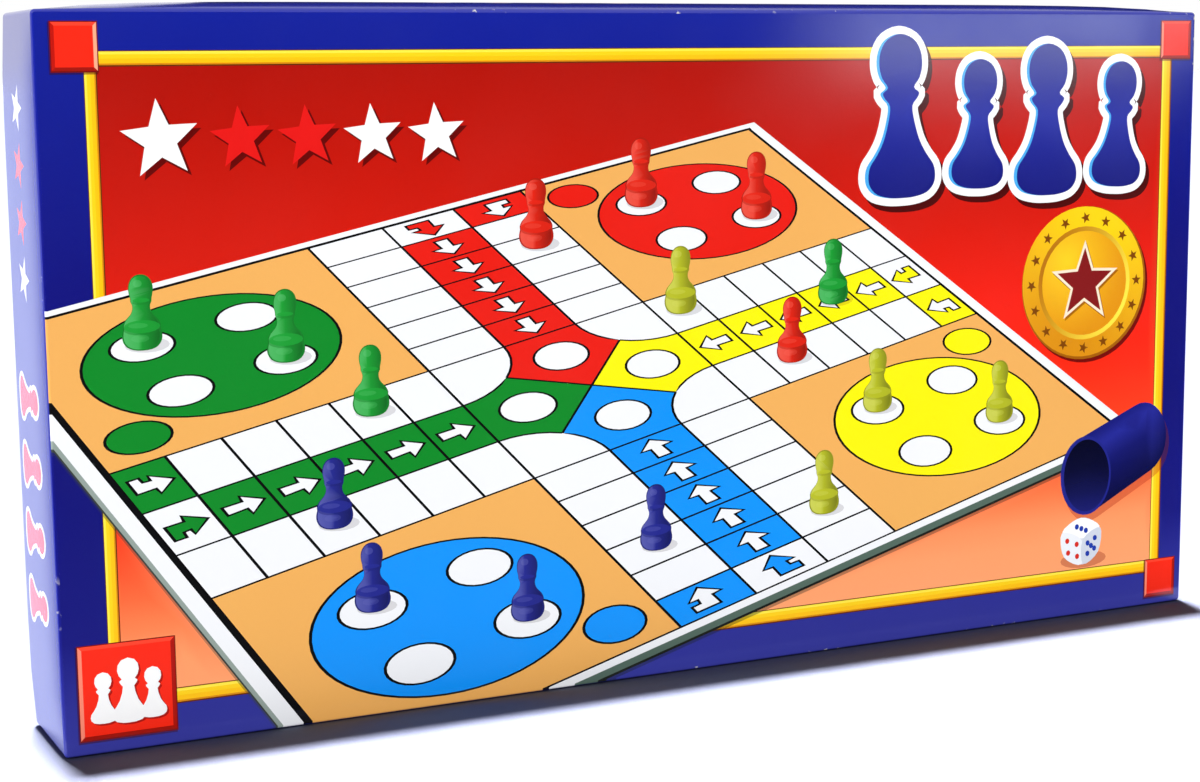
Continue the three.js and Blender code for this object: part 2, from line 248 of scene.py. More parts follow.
def border_of(places, triangles, inks):
    """The sheet's border in turn, as (start, end, ink at start, ink at end)."""
    directed = {}
    for t, tri in enumerate(triangles):
        for k in range(3):
            directed[tri[k], tri[(k + 1) % 3]] = (inks[t][k], inks[t][(k + 1) % 3])
    follows = {a: (b, ink) for (a, b), ink in directed.items() if (b, a) not in directed}
    start = at = min(follows, key=lambda i: (places[i][1], places[i][0]))
    out = []
    while True:
        b, (ink_a, ink_b) = follows[at]
        out.append((places[at], places[b], ink_a, ink_b))
        at = b
        if at == start:
            return out


class Skin:
    """One mesh in millimetres. Each corner has its own normal, ink and wear."""

    def __init__(self, turn=None):
        self.turn = turn or Matrix.Identity(4)
        self.places, self.index, self.faces, self.normals, self.inks, self.slots = [], {}, [], [], [], []

    def vertex(self, place):
        key = tuple(round(v, WELD_DIGITS) for v in place)
        if key not in self.index:
            self.index[key] = len(self.places)
            self.places.append([v * MM for v in place])
        return self.index[key]

    def face(self, corners, slot=0):
        """A face from (place, normal, ink, wear) of each corner."""
        ids = [self.vertex(self.turn @ Vector(c[0])) for c in corners]
        keep = [i for i in range(len(ids)) if ids[i] != ids[i - 1]]
        if len(set(ids[i] for i in keep)) < 3:
            return
        spin = self.turn.to_3x3()
        self.faces.append([ids[i] for i in keep])
        self.slots.append(slot)
        for i in keep:
            self.normals.append(tuple((spin @ Vector(corners[i][1])).normalized()))
            self.inks += [*to_linear(corners[i][2]), corners[i][3]]

    def lay(self, sheet, corner_at, turned=False):
        """Adds a composed sheet, placed by corner_at, and returns its border."""
        places, triangles, inks = sheet.composed()
        for tri, colours in zip(triangles, inks):
            corners = [(*corner_at(*places[i]), colour, 0) for i, colour in zip(tri, colours)]
            self.face(corners[::-1] if turned else corners)
        return border_of(places, triangles, inks)

    def build(self, name, materials):
        mesh = bpy.data.meshes.new(name)
        mesh.from_pydata(self.places, [], self.faces)
        ink = mesh.color_attributes.new("ink", "FLOAT_COLOR", "CORNER")
        ink.data.foreach_set("color", self.inks)
        for m in materials:
            mesh.materials.append(m)
        mesh.polygons.foreach_set("material_index", self.slots)
        mesh.polygons.foreach_set("use_smooth", [True] * len(self.faces))
        mesh.normals_split_custom_set(self.normals)
        return new_object(name, mesh)


CORNER_STEPS = 4


class Outline:
    """A rectangle with rounded corners in the XZ plane. Its walls can bow, the low one first."""

    def __init__(self, x0, z0, x1, z1, low, high, bows=(0, 0, 0, 0)):
        self.x0, self.z0, self.x1, self.z1, self.low, self.high = x0, z0, x1, z1, low, high
        self.bows = bows

    def swell(self, foot, y):
        """How far the wall bows out at depth y, and how fast that grows with y."""
        centre, out, r = foot
        along_x = abs(out.y) > abs(out.x)
        low, high, at = (self.x0, self.x1, centre.x) if along_x else (self.z0, self.z1, centre.y)
        t = (2 * at - low - high) / (high - low - 2 * r)
        side = (0 if out.y < 0 else 2) if along_x else (1 if out.x > 0 else 3)
        most = self.bows[side] * max(1 - t ** BOW_SQUARENESS, 0)
        fade = math.exp(-max(y, 0) / BOW_REACH)
        return most * (1 - fade), most * fade / BOW_REACH

    def points(self, inset, spacing=None):
        """The border in turn, moved in by the inset, with points along its sides if a spacing is given."""
        corners = (
            (self.x1, self.z0, -1, 1, self.low, -90),
            (self.x1, self.z1, -1, -1, self.high, 0),
            (self.x0, self.z1, 1, -1, self.high, 90),
            (self.x0, self.z0, 1, 1, self.low, 180),
        )
        out = []
        for x, z, sx, sz, r, start in corners:
            reach = r - inset
            for a in angles(start, start + 90, CORNER_STEPS):
                out.append((x + sx * r + reach * math.cos(a), z + sz * r + reach * math.sin(a)))
        if not spacing:
            return out
        full = []
        for (x0, y0), (x1, y1) in zip(out, out[1:] + out[:1]):
            count = max(round(math.hypot(x1 - x0, y1 - y0) / spacing), 1)
            full += [(x0 + (x1 - x0) * k / count, y0 + (y1 - y0) * k / count) for k in range(count)]
        return full

    def at(self, x, z):
        """The corner's centre or foot, the way out, and the radius at a point near the outline."""
        r = self.low if z < (self.z0 + self.z1) / 2 else self.high
        cx = min(max(x, self.x0 + r), self.x1 - r)
        cz = min(max(z, self.z0 + r), self.z1 - r)
        out = Vector((x - cx, z - cz))
        return Vector((cx, cz)), out.normalized(), r


def station(offset, y, out, back):
    """A stop on a path: how far out it is, its depth, and its normal outwards and backwards."""
    return offset, y, (out, back)


def arc(offset, y, radius, start, end, steps, inks):
    """Rounded part of a path: its angle runs from the way out towards +y."""
    stops = [
        station(offset + radius * math.cos(t), y + radius * math.sin(t), math.cos(t), math.sin(t))
        for t in angles(start, end, steps)
    ]
    return [(stops[k], stops[k + 1], inks[0] if k < steps / 2 else inks[1]) for k in range(steps)]


def straight(offset, ends, out, ink, cuts):
    """A straight part of a path along y, in steps that can bow."""
    stops = [station(offset, ends[0] + (ends[1] - ends[0]) * k / (cuts + 1), out, 0) for k in range(cuts + 2)]
    return [(a, b, ink) for a, b in zip(stops, stops[1:])]


def on_surface(height):
    """Gives a flat point's place on y = height(x, z), which faces -y, and its normal there."""
    step = 0.5

    def corner_at(x, z):
        nx = (height(x + step, z) - height(x - step, z)) / (2 * step)
        nz = (height(x, z + step) - height(x, z - step)) / (2 * step)
        return (x, height(x, z), z), (nx, -1, nz)

    return corner_at


class Card(Skin):
    """A mesh that starts as a printed sheet and goes on round the sheet's border."""

    def __init__(self, outline, sheet, height, turn):
        super().__init__(turn)
        self.outline = outline
        self.border = self.lay(sheet, on_surface(height))
        self.feet = [outline.at(*start) for start, _, _, _ in self.border]

    def corner(self, foot, stop, ink, wear=0.0):
        centre, out, r = foot
        offset, y, (side, back) = stop
        bow, slope = self.outline.swell(foot, y)
        reach = r + offset + bow
        place = (centre.x + out.x * reach, y, centre.y + out.y * reach)
        return place, (out.x * side, back - side * slope, out.y * side), ink, wear

    def sweep(self, path, wear=0.0, slot=0):
        """Carries the border round the path; an ink of None is the border's own."""
        for a, b, (_, _, ink_a, ink_b) in zip(self.feet, self.feet[1:] + self.feet[:1], self.border):
            for first, last, ink in path:
                ia, ib = ink or ink_a, ink or ink_b
                ends = (b, first, ib), (a, first, ia), (a, last, ia), (b, last, ib)
                self.face([self.corner(*end, wear) for end in ends], slot)

    def cap(self, offset, y, ink, slot):
        """Closes the shape with one flat face at y that looks to +y."""
        self.face([self.corner(foot, station(offset, y, 0, 1), ink) for foot in self.feet[::-1]], slot)

    def foot_at(self, stops, s):
        """The border's foot at the distance s, where stops holds the distances of its corners."""
        k = min(max(bisect.bisect_right(stops, s) - 1, 0), len(stops) - 2)
        t = (s - stops[k]) / (stops[k + 1] - stops[k])
        a, b = self.feet[k], self.feet[(k + 1) % len(self.feet)]
        if t < 1e-6 or t > 1 - 1e-6:
            return a if t < 0.5 else b
        return a[0].lerp(b[0], t), a[1].lerp(b[1], t).normalized(), a[2]

    def walls(self, y0, y1, blue, motifs):
        """The walls' outer face as one strip round the outline, with motifs laid on it."""
        spots = [centre + out * r for centre, out, r in [*self.feet, self.feet[0]]]
        stops = [0.0]
        for a, b in zip(spots, spots[1:]):
            stops.append(stops[-1] + (b - a).length)
        strip = Sheet([(s, y0) for s in stops] + [(s, y1) for s in reversed(stops)], blue)
        for s, (_, out, _) in zip(stops[1:-1], self.feet[1:]):
            on_corner = min(abs(out.x), abs(out.y)) > 0.01
            if on_corner:
                strip.folds.append(((s, y0), (s, y1)))
        for y in BOW_LINES:
            strip.folds += [((a, y), (b, y)) for a, b in zip(stops, stops[1:])]
        o = self.outline
        middles = (0, o.z0), (o.x1, 0), (0, o.z1), (o.x0, 0)
        for side, (middle, along) in enumerate(zip(middles, ((1, 0), (0, 1), (-1, 0), (0, -1)))):
            away = [spot - Vector(middle) for spot in spots]
            nearest = min(range(len(away)), key=lambda i: away[i].length)
            motifs(strip, side, stops[nearest] - away[nearest].dot(Vector(along)))

        def outside(s, y):
            return self.corner(self.foot_at(stops, s), station(0, y, 1, 0), None)[:2]

        self.lay(strip, outside, turned=True)


def bands(rings):
    """Faces between neighbouring rings of vertices. A ring of one vertex is a pole."""
    faces = []
    for low, high in zip(rings, rings[1:]):
        count = max(len(low), len(high))
        for k in range(count):
            j = (k + 1) % count
            quad = [low[k % len(low)], low[j % len(low)], high[j % len(high)], high[k % len(high)]]
            face = [v for i, v in enumerate(quad) if v not in quad[:i]]
            if len(face) > 2:
                faces.append(face)
    return faces


def finished_object(name, verts, faces, material, angle):
    """Outward faces, smooth where they meet at less than the angle."""
    mesh = new_mesh(name, verts, faces, material)
    bm = bmesh.new()
    bm.from_mesh(mesh)
    bmesh.ops.recalc_face_normals(bm, faces=bm.faces)
    bm.to_mesh(mesh)
    bm.free()
    mesh.shade_smooth()
    mesh.set_sharp_from_angle(angle=math.radians(angle))
    return new_object(name, mesh)


# Print

PAPER_WHITE = (240, 242, 247)
LINE_INK = (14, 14, 17)
TAN = (238, 174, 92)
GRID_COLOURS = {"green": (12, 136, 40), "blue": (8, 146, 250), "yellow": (252, 240, 0), "red": (230, 26, 14)}
PAWN_COLOURS = {"green": (18, 140, 52), "blue": (36, 36, 148), "yellow": (206, 214, 40), "red": (214, 30, 26)}
TURNS = ("green", "blue", "yellow", "red")
# A board of SPAN units a side: cells are short along an arm and wide across it
SPAN = 15
HEART = SPAN / 2
LONG = 0.895
WIDE = (SPAN - 12 * LONG) / 3
ARM = 6 * LONG
YARD, YARD_R, SPOT_OUT, SPOT_R = ARM / 2, 2.07, 0.88, 0.53
START_AT, START_R = (4.58, 0.77), 0.52
HOME_AT, HOME_R = (HEART, 6.26), 0.52
GRID_MARGIN = 0.25
GRID_LINE = 0.048

ARROW = [(-0.11, -0.27), (0.11, -0.27), (0.09, 0.04), (0.27, 0.05), (0, 0.30), (-0.27, 0.05), (-0.1, 0.04)]
BENT_ARROW = [
    (-0.3, -0.25), (0.11, -0.25), (0.1, 0.04), (0.27, 0.05), (0, 0.31), (-0.28, 0.05), (-0.12, 0.05),
    (-0.14, -0.11), (-0.3, -0.12),
]


def perspective(corners):
    """A map from the grid to its four corners on a sheet."""
    rows, values = [], []
    for (a, b), (x, y) in zip(((0, 0), (0, SPAN), (SPAN, SPAN), (SPAN, 0)), corners):
        rows += [[a, b, 1, 0, 0, 0, -x * a, -x * b], [0, 0, 0, a, b, 1, -y * a, -y * b]]
        values += [x, y]
    h = np.linalg.solve(np.array(rows, float), np.array(values, float))

    def at(a, b):
        w = h[6] * a + h[7] * b + 1
        return (h[0] * a + h[1] * b + h[2]) / w, (h[3] * a + h[4] * b + h[5]) / w

    return at


def ludo_grid(sheet, at, white=PAPER_WHITE, margins=(GRID_MARGIN,) * 4, rims=(0.06,) * 4):
    """The traditional cross and circle layout. Its margins and rims start at the side b = 0."""

    def spun(k, a, b):
        for _ in range(k):
            a, b = SPAN - b, a
        return at(a, b)

    def lay(k, points, ink=LINE_INK):
        sheet.add([spun(k, *p) for p in points], ink)

    def line(k, *points):
        lay(k, ribbon(points, GRID_LINE))

    def ringed(k, x, y, r, ink, steps=26):
        lay(k, disc(x, y, r, steps=steps))
        lay(k, disc(x, y, r - GRID_LINE, steps=steps), ink)

    def arrow(k, shape, x, y, ink, squeeze=1):
        lay(k, placed(grown(shape, GRID_LINE), x, y, squeeze=squeeze))
        lay(k, placed(shape, x, y, squeeze=squeeze), ink)

    m = margins
    sheet.add([at(*p) for p in box(-m[3], -m[0], SPAN + m[1], SPAN + m[2])], white)
    bend = [(ARM + WIDE * math.cos(t), ARM + WIDE * math.sin(t)) for t in angles(0, 45, 5)]
    other = [(SPAN - a, b) for a, b in bend][::-1]
    for k, name in enumerate(TURNS):
        colour = GRID_COLOURS[name]
        lay(k, box(0, 0, ARM, ARM), TAN)
        ringed(k, YARD, YARD, YARD_R, colour, 56)
        for dx, dy in ((-1, -1), (1, -1), (1, 1), (-1, 1)):
            ringed(k, YARD + dx * SPOT_OUT, YARD + dy * SPOT_OUT, SPOT_R, white)
        ringed(k, *START_AT, START_R, colour)
        lay(k, box(ARM, 0, ARM + WIDE, LONG), colour)
        lay(k, box(ARM + WIDE, LONG, ARM + 2 * WIDE, ARM), colour)
        lay(k, bend + [(HEART, HEART)] + other, colour)
    for k, name in enumerate(TURNS):
        for j in range(1, 7):
            line(k, (ARM, j * LONG), (SPAN - ARM, j * LONG))
        for j in range(4):
            line(k, (ARM + j * WIDE, 0), (ARM + j * WIDE, ARM))
        lay(k, ribbon([(-rims[k] / 2, 0), (SPAN + rims[k] / 2, 0)], rims[k]))
        line(k, *bend, (HEART, HEART))
        line(k, *other[::-1])
        ringed(k, *HOME_AT, HOME_R, white)
        for j in range(1, 6):
            arrow(k, ARROW, HEART, (j + 0.5) * LONG, white)
        arrow(k, BENT_ARROW, ARM + WIDE / 2, LONG / 2, white)
        arrow(k, BENT_ARROW, HEART, LONG / 2, GRID_COLOURS[name], -1)


def mirrored(side, foot):
    """A closed upright shape from its right side and the height of its foot."""
    return [(0, foot), *side, (0, 1.0), *[(-x, y) for x, y in side[::-1]]]


PAWN_SIDE = [
    (0.10, -0.045), (0.20, -0.02), (0.255, 0.03), (0.27, 0.09), (0.255, 0.16), (0.20, 0.23), (0.145, 0.32),
    (0.105, 0.44), (0.09, 0.54), (0.13, 0.59), (0.145, 0.625), (0.105, 0.66), (0.15, 0.72), (0.172, 0.80),
    (0.16, 0.89), (0.105, 0.965),
]
PAWN_SHAPE = mirrored(PAWN_SIDE, -0.05)
STOUT_SIDE = [
    (0.12, 0.012), (0.21, 0.055), (0.258, 0.13), (0.266, 0.21), (0.25, 0.285), (0.254, 0.33), (0.222, 0.4),
    (0.15, 0.475), (0.12, 0.54), (0.12, 0.6), (0.14, 0.645), (0.142, 0.69), (0.158, 0.76), (0.162, 0.84),
    (0.138, 0.92), (0.08, 0.98),
]
STOUT_PAWN = mirrored(STOUT_SIDE, 0)
TITLE_PAWNS = (
    (253.5, 137.5, 46, 0.02), (280.5, 139, 37, -0.03), (306.5, 136.5, 44, 0.0), (333, 138, 37, -0.05),
)
TITLE_BLUES = ((22, 26, 124), (34, 44, 160), (24, 30, 136))


def smoothed(points, steps):
    """A closed shape with a curve through its points."""
    out = []
    n = len(points)
    for i in range(n):
        four = [points[(i + k) % n] for k in (-1, 0, 1, 2)]
        out += [curve_point(four, k / steps) for k in range(steps)]
    return out


def curve_point(four, t):
    return tuple(
        0.5 * (2 * b + (c - a) * t + (2 * a - 5 * b + 4 * c - d) * t * t + (3 * b - a - 3 * c + d) * t ** 3)
        for a, b, c, d in zip(*four)
    )


def lit(colour, x, half):
    """An ink that gets darker from left to right over a round shape at x."""

    def value(px, _):
        t = (px - x) / half
        if t < -0.2:
            return mix(colour, (255, 255, 255), 0.16 + 0.1 * (-0.2 - t))
        return mix(colour, (0, 0, 0), min(max(0.34 * (t + 0.2), 0), 0.4))

    return value


def printed_pawn(sheet, x, y, h, colour):
    """A small stout pawn of height h with its shadow, shade and faint lights."""

    def spot(dx, dy, rx, ry, steps, ink):
        sheet.add(disc(x + dx * h, y + dy * h, rx * h, ry * h, steps), ink)

    dark, pale = mix(colour, (0, 0, 0), 0.24), mix(colour, (255, 255, 255), 0.34)
    whole = smoothed(STOUT_PAWN, 2)
    spot(0.06, 0.07, 0.30, 0.10, 16, (60, 50, 50, 0.16))
    sheet.add(placed(whole, x, y, h), dark)
    lit_part = placed(whole, x - 0.008 * h, y + 0.016 * h, h * 0.965, squeeze=0.93)
    sheet.add(lit_part, lit(colour, x, 0.27 * h))
    for rise, wide, deep in ((0.285, 0.248, 0.085), (0.63, 0.118, 0.03)):
        spot(0, rise, wide, deep, 16, (*dark, 0.42))
        spot(0, rise + 0.03, wide - 0.006, deep, 16, (*colour, 0.8))
    spot(-0.05, 0.33, 0.13, 0.035, 14, (*pale, 0.25))
    spot(-0.03, 0.16, 0.12, 0.05, 14, (*pale, 0.22))
    spot(-0.04, 0.88, 0.06, 0.05, 12, (*pale, 0.35))


# The lid's front, in millimetres from its lower left corner

FACE_W, FACE_H = 364, 190
FACE_GRID = 8
TITLE_RIM = 2.3
TITLE_SHADOW = (1.5, -1.9)
BORDER_BLUE = (24, 34, 148)
# The border's blue from its bottom edge up, in millimetres. It is painted lighter near the bottom and the top
# as painted reflection of the bright floor and surroundings, over the border's own dark blue.
BORDER_BLUES_AND_PAINTED_REFLECTION = (
    (0, (56, 60, 160)), (12, (44, 47, 150)), (30, (20, 22, 124)), (70, (14, 16, 117)), (120, (15, 17, 122)),
    (160, (14, 25, 140)), (190, (16, 31, 152)),
)
BAR_SHARES = (
    (0, 1, (96, 40, 8)), (0.09, 0.94, (216, 136, 8)), (0.2, 0.94, (255, 196, 8)), (0.5, 0.94, (255, 210, 20)),
    (0.76, 0.94, (255, 232, 70)),
)
GROUND_BOX = (13, 12, 354.2, 179)
FRAME_BARS = (
    (12.3, 10.7, 354.9, 15), (12.3, 175.8, 354.9, 179.8), (12.3, 10.7, 15.7, 179.8),
    (350.9, 10.7, 354.9, 179.8),
)
BADGE_RED = (250, 38, 14)
STAR_WHITE, STAR_RED = (248, 248, 250), (226, 22, 20)
STARS = (
    (31, 10.5, STAR_WHITE), (52, 8.4, STAR_RED), (70, 8.4, STAR_RED), (88, 8.4, STAR_WHITE),
    (106, 8.4, STAR_WHITE),
)
STAR_Y, STAR_SHADOW_Y, STAR_TURN = 157.4, 156.2, 0.08
PRINT_PAWNS = {"green": (26, 158, 52), "blue": (36, 42, 144), "yellow": (184, 190, 36), "red": (226, 34, 16)}
GROUND = (
    (8, (255, 165, 112)), (23, (255, 156, 102)), (36, (253, 114, 64)), (52, (251, 68, 30)),
    (76, (251, 36, 10)), (97, (241, 26, 8)), (125, (209, 22, 6)), (180, (168, 13, 2)),
)
GROUND_SLANT = 0.02
CORNER_SQUARES = (
    (4.6, 174.8, 16, 186.8, 0.9, True), (350.6, 175.8, 362, 187.2, 0.8), (349.4, 2.8, 361.2, 14.8, 0.8),
)
BADGE_SQUARE = (4.4, 4, 29.6, 28.8, 1.0)
BADGE_PAWNS = ((10.6, 8.6, 13), (17.2, 8.2, 16.5), (23.6, 8.6, 13))
SEAL = (322.4, 106.4, 24)
PRINTED_DIE = (322.8, 24.2, 15)
CUP_MOUTH, CUP_FOOT = (324.6, 45.0), (347.0, 55.2)
PAWN_HEIGHT, PAWN_DROP = 19.5, 1
GRID_CORNERS = ((-13.4, 110.8), (201.8, 156.7), (338.1, 58.6), (77.3, -15.9))
BOARD_EDGE = (176, 186, 172)
EDGE_TONES = (((146, 160, 154), (60, 66, 62)), ((84, 106, 96), (30, 34, 30)))
PRINT_MARGINS, PRINT_RIMS = (0.3, 0.2, 0.26, 0.23), (0.11, 0.045, 0.07, 0.09)
PAWN_PLACES = {
    "green": ((1.81, 1.81), (3.57, 3.57), (6.08, 4.03), (7.5, 12.76)),
    "blue": ((13.19, 3.57), (11.43, 1.81), (8.92, 2.24), (12.76, 6.08)),
    "red": ((1.81, 11.43), (3.57, 13.19), (2.24, 8.92), (8.92, 10.98)),
    "yellow": ((13.19, 13.19), (11.43, 11.43), (13.66, 8.92), (6.08, 10.08)),
}


def bevelled(sheet, x0, y0, x1, y1, rim, pale_right=False):
    """A raised red square with a dark edge round it and one pale side."""
    left, right = ((190, 18, 6), (255, 172, 136)) if pale_right else ((250, 136, 112), (170, 18, 8))
    i0, j0, i1, j1 = x0 + rim, y0 + rim, x1 - rim, y1 - rim
    sheet.add(box(x0 - 0.7, y0 - 0.9, x1 + 0.1, y1 + 0.1), (60, 8, 24, 0.45))
    sheet.add(box(x0 - 0.3, y0 - 0.4, x1 + 0.3, y1 + 0.3), (116, 12, 8))
    sheet.add([(x0, y1), (i0, j1), (i1, j1), (x1, y1)][::-1], (255, 66, 42))
    sheet.add([(x0, y0), (x1, y0), (i1, j0), (i0, j0)], (160, 18, 6))
    sheet.add([(x0, y0), (i0, j0), (i0, j1), (x0, y1)], left)
    sheet.add([(x1, y0), (x1, y1), (i1, j1), (i1, j0)], right)
    sheet.add(box(i0, j0, i1, j1), BADGE_RED)


def frame_bar(sheet, x0, y0, x1, y1):
    """A yellow bar with dark edges, its bright side up or to the left."""
    for low, high, ink in BAR_SHARES:
        if x1 - x0 > y1 - y0:
            sheet.add(box(x0, y0 + (y1 - y0) * low, x1, y0 + (y1 - y0) * high), ink)
        else:
            sheet.add(box(x1 - (x1 - x0) * high, y0, x1 - (x1 - x0) * low, y1), ink)


def title_blue(y, height):
    stops = [(y + share * height, ink) for share, ink in zip((0, 0.5, 1), TITLE_BLUES)]
    return lambda px, py: ramp(stops, py)


def title_row(sheet):
    """Large blue pawns with white edges, in a row at the top right."""
    smooth = smoothed(PAWN_SHAPE, 3)
    for x, y, height, turn in TITLE_PAWNS:
        shape = placed(smooth, x, y, height, turn)
        sheet.add(placed(grown(shape, TITLE_RIM), *TITLE_SHADOW), (44, 2, 6, 0.8))
        sheet.add(grown(shape, TITLE_RIM), (250, 252, 255))
        sheet.add(shape, (70, 170, 240))
        sheet.add(placed(smooth, x + 0.6, y, height, turn, squeeze=0.95), title_blue(y, height))


def star_row(sheet):
    """A row of stars with dark shadows at the top left."""
    for x, radius, ink in STARS:
        sheet.add(star(x + 1.1, STAR_SHADOW_Y, radius, STAR_TURN), (60, 0, 4, 0.7))
        sheet.add(star(x, STAR_Y, radius, STAR_TURN), ink)


def gold_disc(sheet, x, y, r):
    """A gold seal with a star in the middle and small stars round its rim."""

    def metal(px, py):
        t = 0.5 + 0.5 * math.sin(math.atan2(py - y, px - x) + 0.3)
        return mix((218, 142, 14), (255, 212, 12), t)

    def groove(px, py):
        t = 0.5 + 0.5 * math.cos(math.atan2(py - y, px - x) + 0.5)
        return mix((184, 112, 8), (255, 232, 70), t)

    def face(px, py):
        t = min(math.hypot(px - x + 0.3 * r, py - y - 0.3 * r) / r, 1)
        return mix((255, 210, 30), (226, 146, 12), t)

    sheet.add(disc(x + 0.9, y - 1.1, r, steps=48), (60, 0, 4, 0.7))
    sheet.add(disc(x, y, r, steps=48), (164, 92, 6))
    sheet.add(disc(x - 0.3, y + 0.4, r * 0.98, steps=48), metal)
    sheet.add(disc(x, y, r * 0.74, steps=40), groove)
    sheet.add(disc(x, y, r * 0.68, steps=40), face)
    for k in range(4):
        sheet.add(disc(x, y, r * (0.16 + 0.12 * k), steps=24), lambda px, py: (*face(px, py), 0.2))
    for k in range(16):
        a = 2 * math.pi * k / 16
        sheet.add(star(x + 0.85 * r * math.cos(a), y + 0.85 * r * math.sin(a), 1.9, a), (126, 66, 4))
    sheet.add(star(x + 0.5, y - 0.7, 0.56 * r), (150, 80, 0, 0.8))
    sheet.add(star(x, y, 0.56 * r), (250, 232, 206))
    sheet.add(star(x, y, 0.46 * r), (132, 24, 26))


def printed_cup(sheet):
    """A dice cup on its side, with its mouth to the left."""
    (ax, ay), (bx, by) = CUP_MOUTH, CUP_FOOT
    body = [(bx + 9.6 * math.cos(t), by + 11.6 * math.sin(t)) for t in angles(112, -68, 14)]
    body += [(ax + 9.9 * math.cos(t), ay + 12.6 * math.sin(t)) for t in angles(-68, -248, 14)]

    def outside(px, py):
        t = ((py - ay) - 0.46 * (px - ax)) / 25 + 0.5
        return ramp(((0, (8, 10, 66)), (0.45, (14, 18, 100)), (0.8, (34, 40, 150)), (1, (20, 24, 118))), t)

    def inside(px, py):
        return ramp(((33, (24, 28, 112)), (46, (6, 8, 52)), (57, (3, 4, 34))), py)

    sheet.add([(x + 1.2, y - 2.2) for x, y in body], (150, 40, 20, 0.35))
    sheet.add(body, outside)
    sheet.add(disc(ax, ay, 9.9, 12.7, 40, 0.06), (30, 36, 136))
    sheet.add(disc(ax + 0.3, ay, 8.9, 11.6, 40, 0.06), inside)


def printed_die(sheet, x, y, size):
    """A die with three sides that show."""
    top = [(-0.5, 0.22), (0.06, 0.02), (0.55, 0.26), (0.02, 0.5)]
    left = [(-0.5, 0.22), (-0.42, -0.34), (0.08, -0.55), (0.06, 0.02)]
    right = [(0.06, 0.02), (0.08, -0.55), (0.5, -0.3), (0.55, 0.26)]
    whole = [(-0.46, 0.2), (-0.4, -0.32), (0.08, -0.52), (0.46, -0.28), (0.5, 0.24), (0.02, 0.48)]
    sheet.add(disc(x + 0.1 * size, y - 0.42 * size, 0.6 * size, 0.18 * size, 18), (120, 30, 20, 0.3))
    sheet.add(placed(smoothed(whole, 5), x, y, size * 1.02), (214, 220, 232))
    for shape, ink in ((top, (250, 251, 255)), (left, (236, 240, 248)), (right, (206, 213, 228))):
        middle = [sum(p[i] for p in shape) / 4 for i in (0, 1)]
        soft = smoothed([mix(middle, p, 0.93) for p in shape], 4)
        sheet.add(placed(soft, x, y, size), ink)
    three = ((0.28, 0.5), (0.5, 0.5), (0.72, 0.5))
    four = ((0.27, 0.27), (0.73, 0.27), (0.73, 0.73), (0.27, 0.73))
    five = ((0.3, 0.3), (0.7, 0.3), (0.5, 0.5), (0.3, 0.7), (0.7, 0.7))
    blue, red = (30, 60, 170), (214, 40, 30)
    for (a, b, c, d), spots, ink in ((top, three, blue), (left, four, red), (right, five, blue)):
        for s, t in spots:
            px, py = mix(mix(a, b, s), mix(d, c, s), t)
            sheet.add(disc(x + px * size, y + py * size, 0.055 * size, 0.06 * size, 10), ink)


def board_edges(sheet, at):
    """The printed board's thickness, on the two sides that show it."""
    m = PRINT_MARGINS
    left, low, right = at(-m[3], -m[0]), at(SPAN + m[1], -m[0]), at(SPAN + m[1], SPAN + m[2])
    for side, tones in zip(((left, low), (low, right)), EDGE_TONES):
        for drop, ink in ((3.8, (*tones[1], 0.35)), (2.9, tones[1]), (2.1, tones[0])):
            sheet.add([*side, *[(x, y - drop) for x, y in side[::-1]]], ink)


def front_sheet(outline, fold):
    """The lid's printed front, drawn from the lower left corner."""
    left, low = corner = outline.x0, outline.z0
    # The border's ink carries painted reflection near its bottom and top.
    sheet = Sheet(outline.points(fold, spacing=14), lambda x, y: ramp(BORDER_BLUES_AND_PAINTED_REFLECTION, y - low), corner)
    high, right = low + FACE_H, left + FACE_W
    sheet.grid(left + FACE_GRID, low + FACE_GRID, right - FACE_GRID, high - FACE_GRID, FACE_GRID)
    sheet.add(box(*GROUND_BOX), lambda x, y: ramp(GROUND, y - GROUND_SLANT * x))
    for bar in FRAME_BARS:
        frame_bar(sheet, *bar)
    for square in CORNER_SQUARES:
        bevelled(sheet, *square)
    at = perspective(GRID_CORNERS)
    board_edges(sheet, at)
    ludo_grid(sheet, at, margins=PRINT_MARGINS, rims=PRINT_RIMS)
    printed_cup(sheet)
    printed_die(sheet, *PRINTED_DIE)
    pawns = [(at(*p), name) for name, spots in PAWN_PLACES.items() for p in spots]
    for (x, y), name in sorted(pawns, key=lambda p: -p[0][1]):
        printed_pawn(sheet, x, y - PAWN_DROP, PAWN_HEIGHT, PRINT_PAWNS[name])
    gold_disc(sheet, *SEAL)
    title_row(sheet)
    star_row(sheet)
    bevelled(sheet, *BADGE_SQUARE)
    for x, y, height in BADGE_PAWNS:
        sheet.add(placed(PAWN_SHAPE, x + 0.5, y - 0.5, height), (140, 6, 0, 0.7))
        sheet.add(placed(PAWN_SHAPE, x, y, height), (250, 250, 252))
    return sheet


# Lid and base

WALL, FOLD, RIM, CORNER = 1.2, 0.8, 0.3, 1.2
BOW_REACH, BOW_SQUARENESS = 4.0, 10
BOW_LINES = (1.6, 2.6, 4, 6, 9, 13, 19, 26)
LID_BOWS = (0.3, 1.2, 2.5, 1.0)
LID_DEPTH = 34.4
BASE_DEPTH = 33.5
TURN_IN = 15
LINING = (222, 221, 214)
BASE_BLUE = (24, 30, 138)
LID_BULGE, BASE_BULGE = 0.35, 0.25
BASE_HALF_X, BASE_HALF_Z = 180.4, 93.4
PAWN_PITCH, PAWN_FOOT, SIDE_PAWN, SIDE_PAWN_RIM = 18, 28.5, 20, 1.2
STAR_PITCH, STAR_AT, SIDE_STAR = 14.5, 18, 6.2


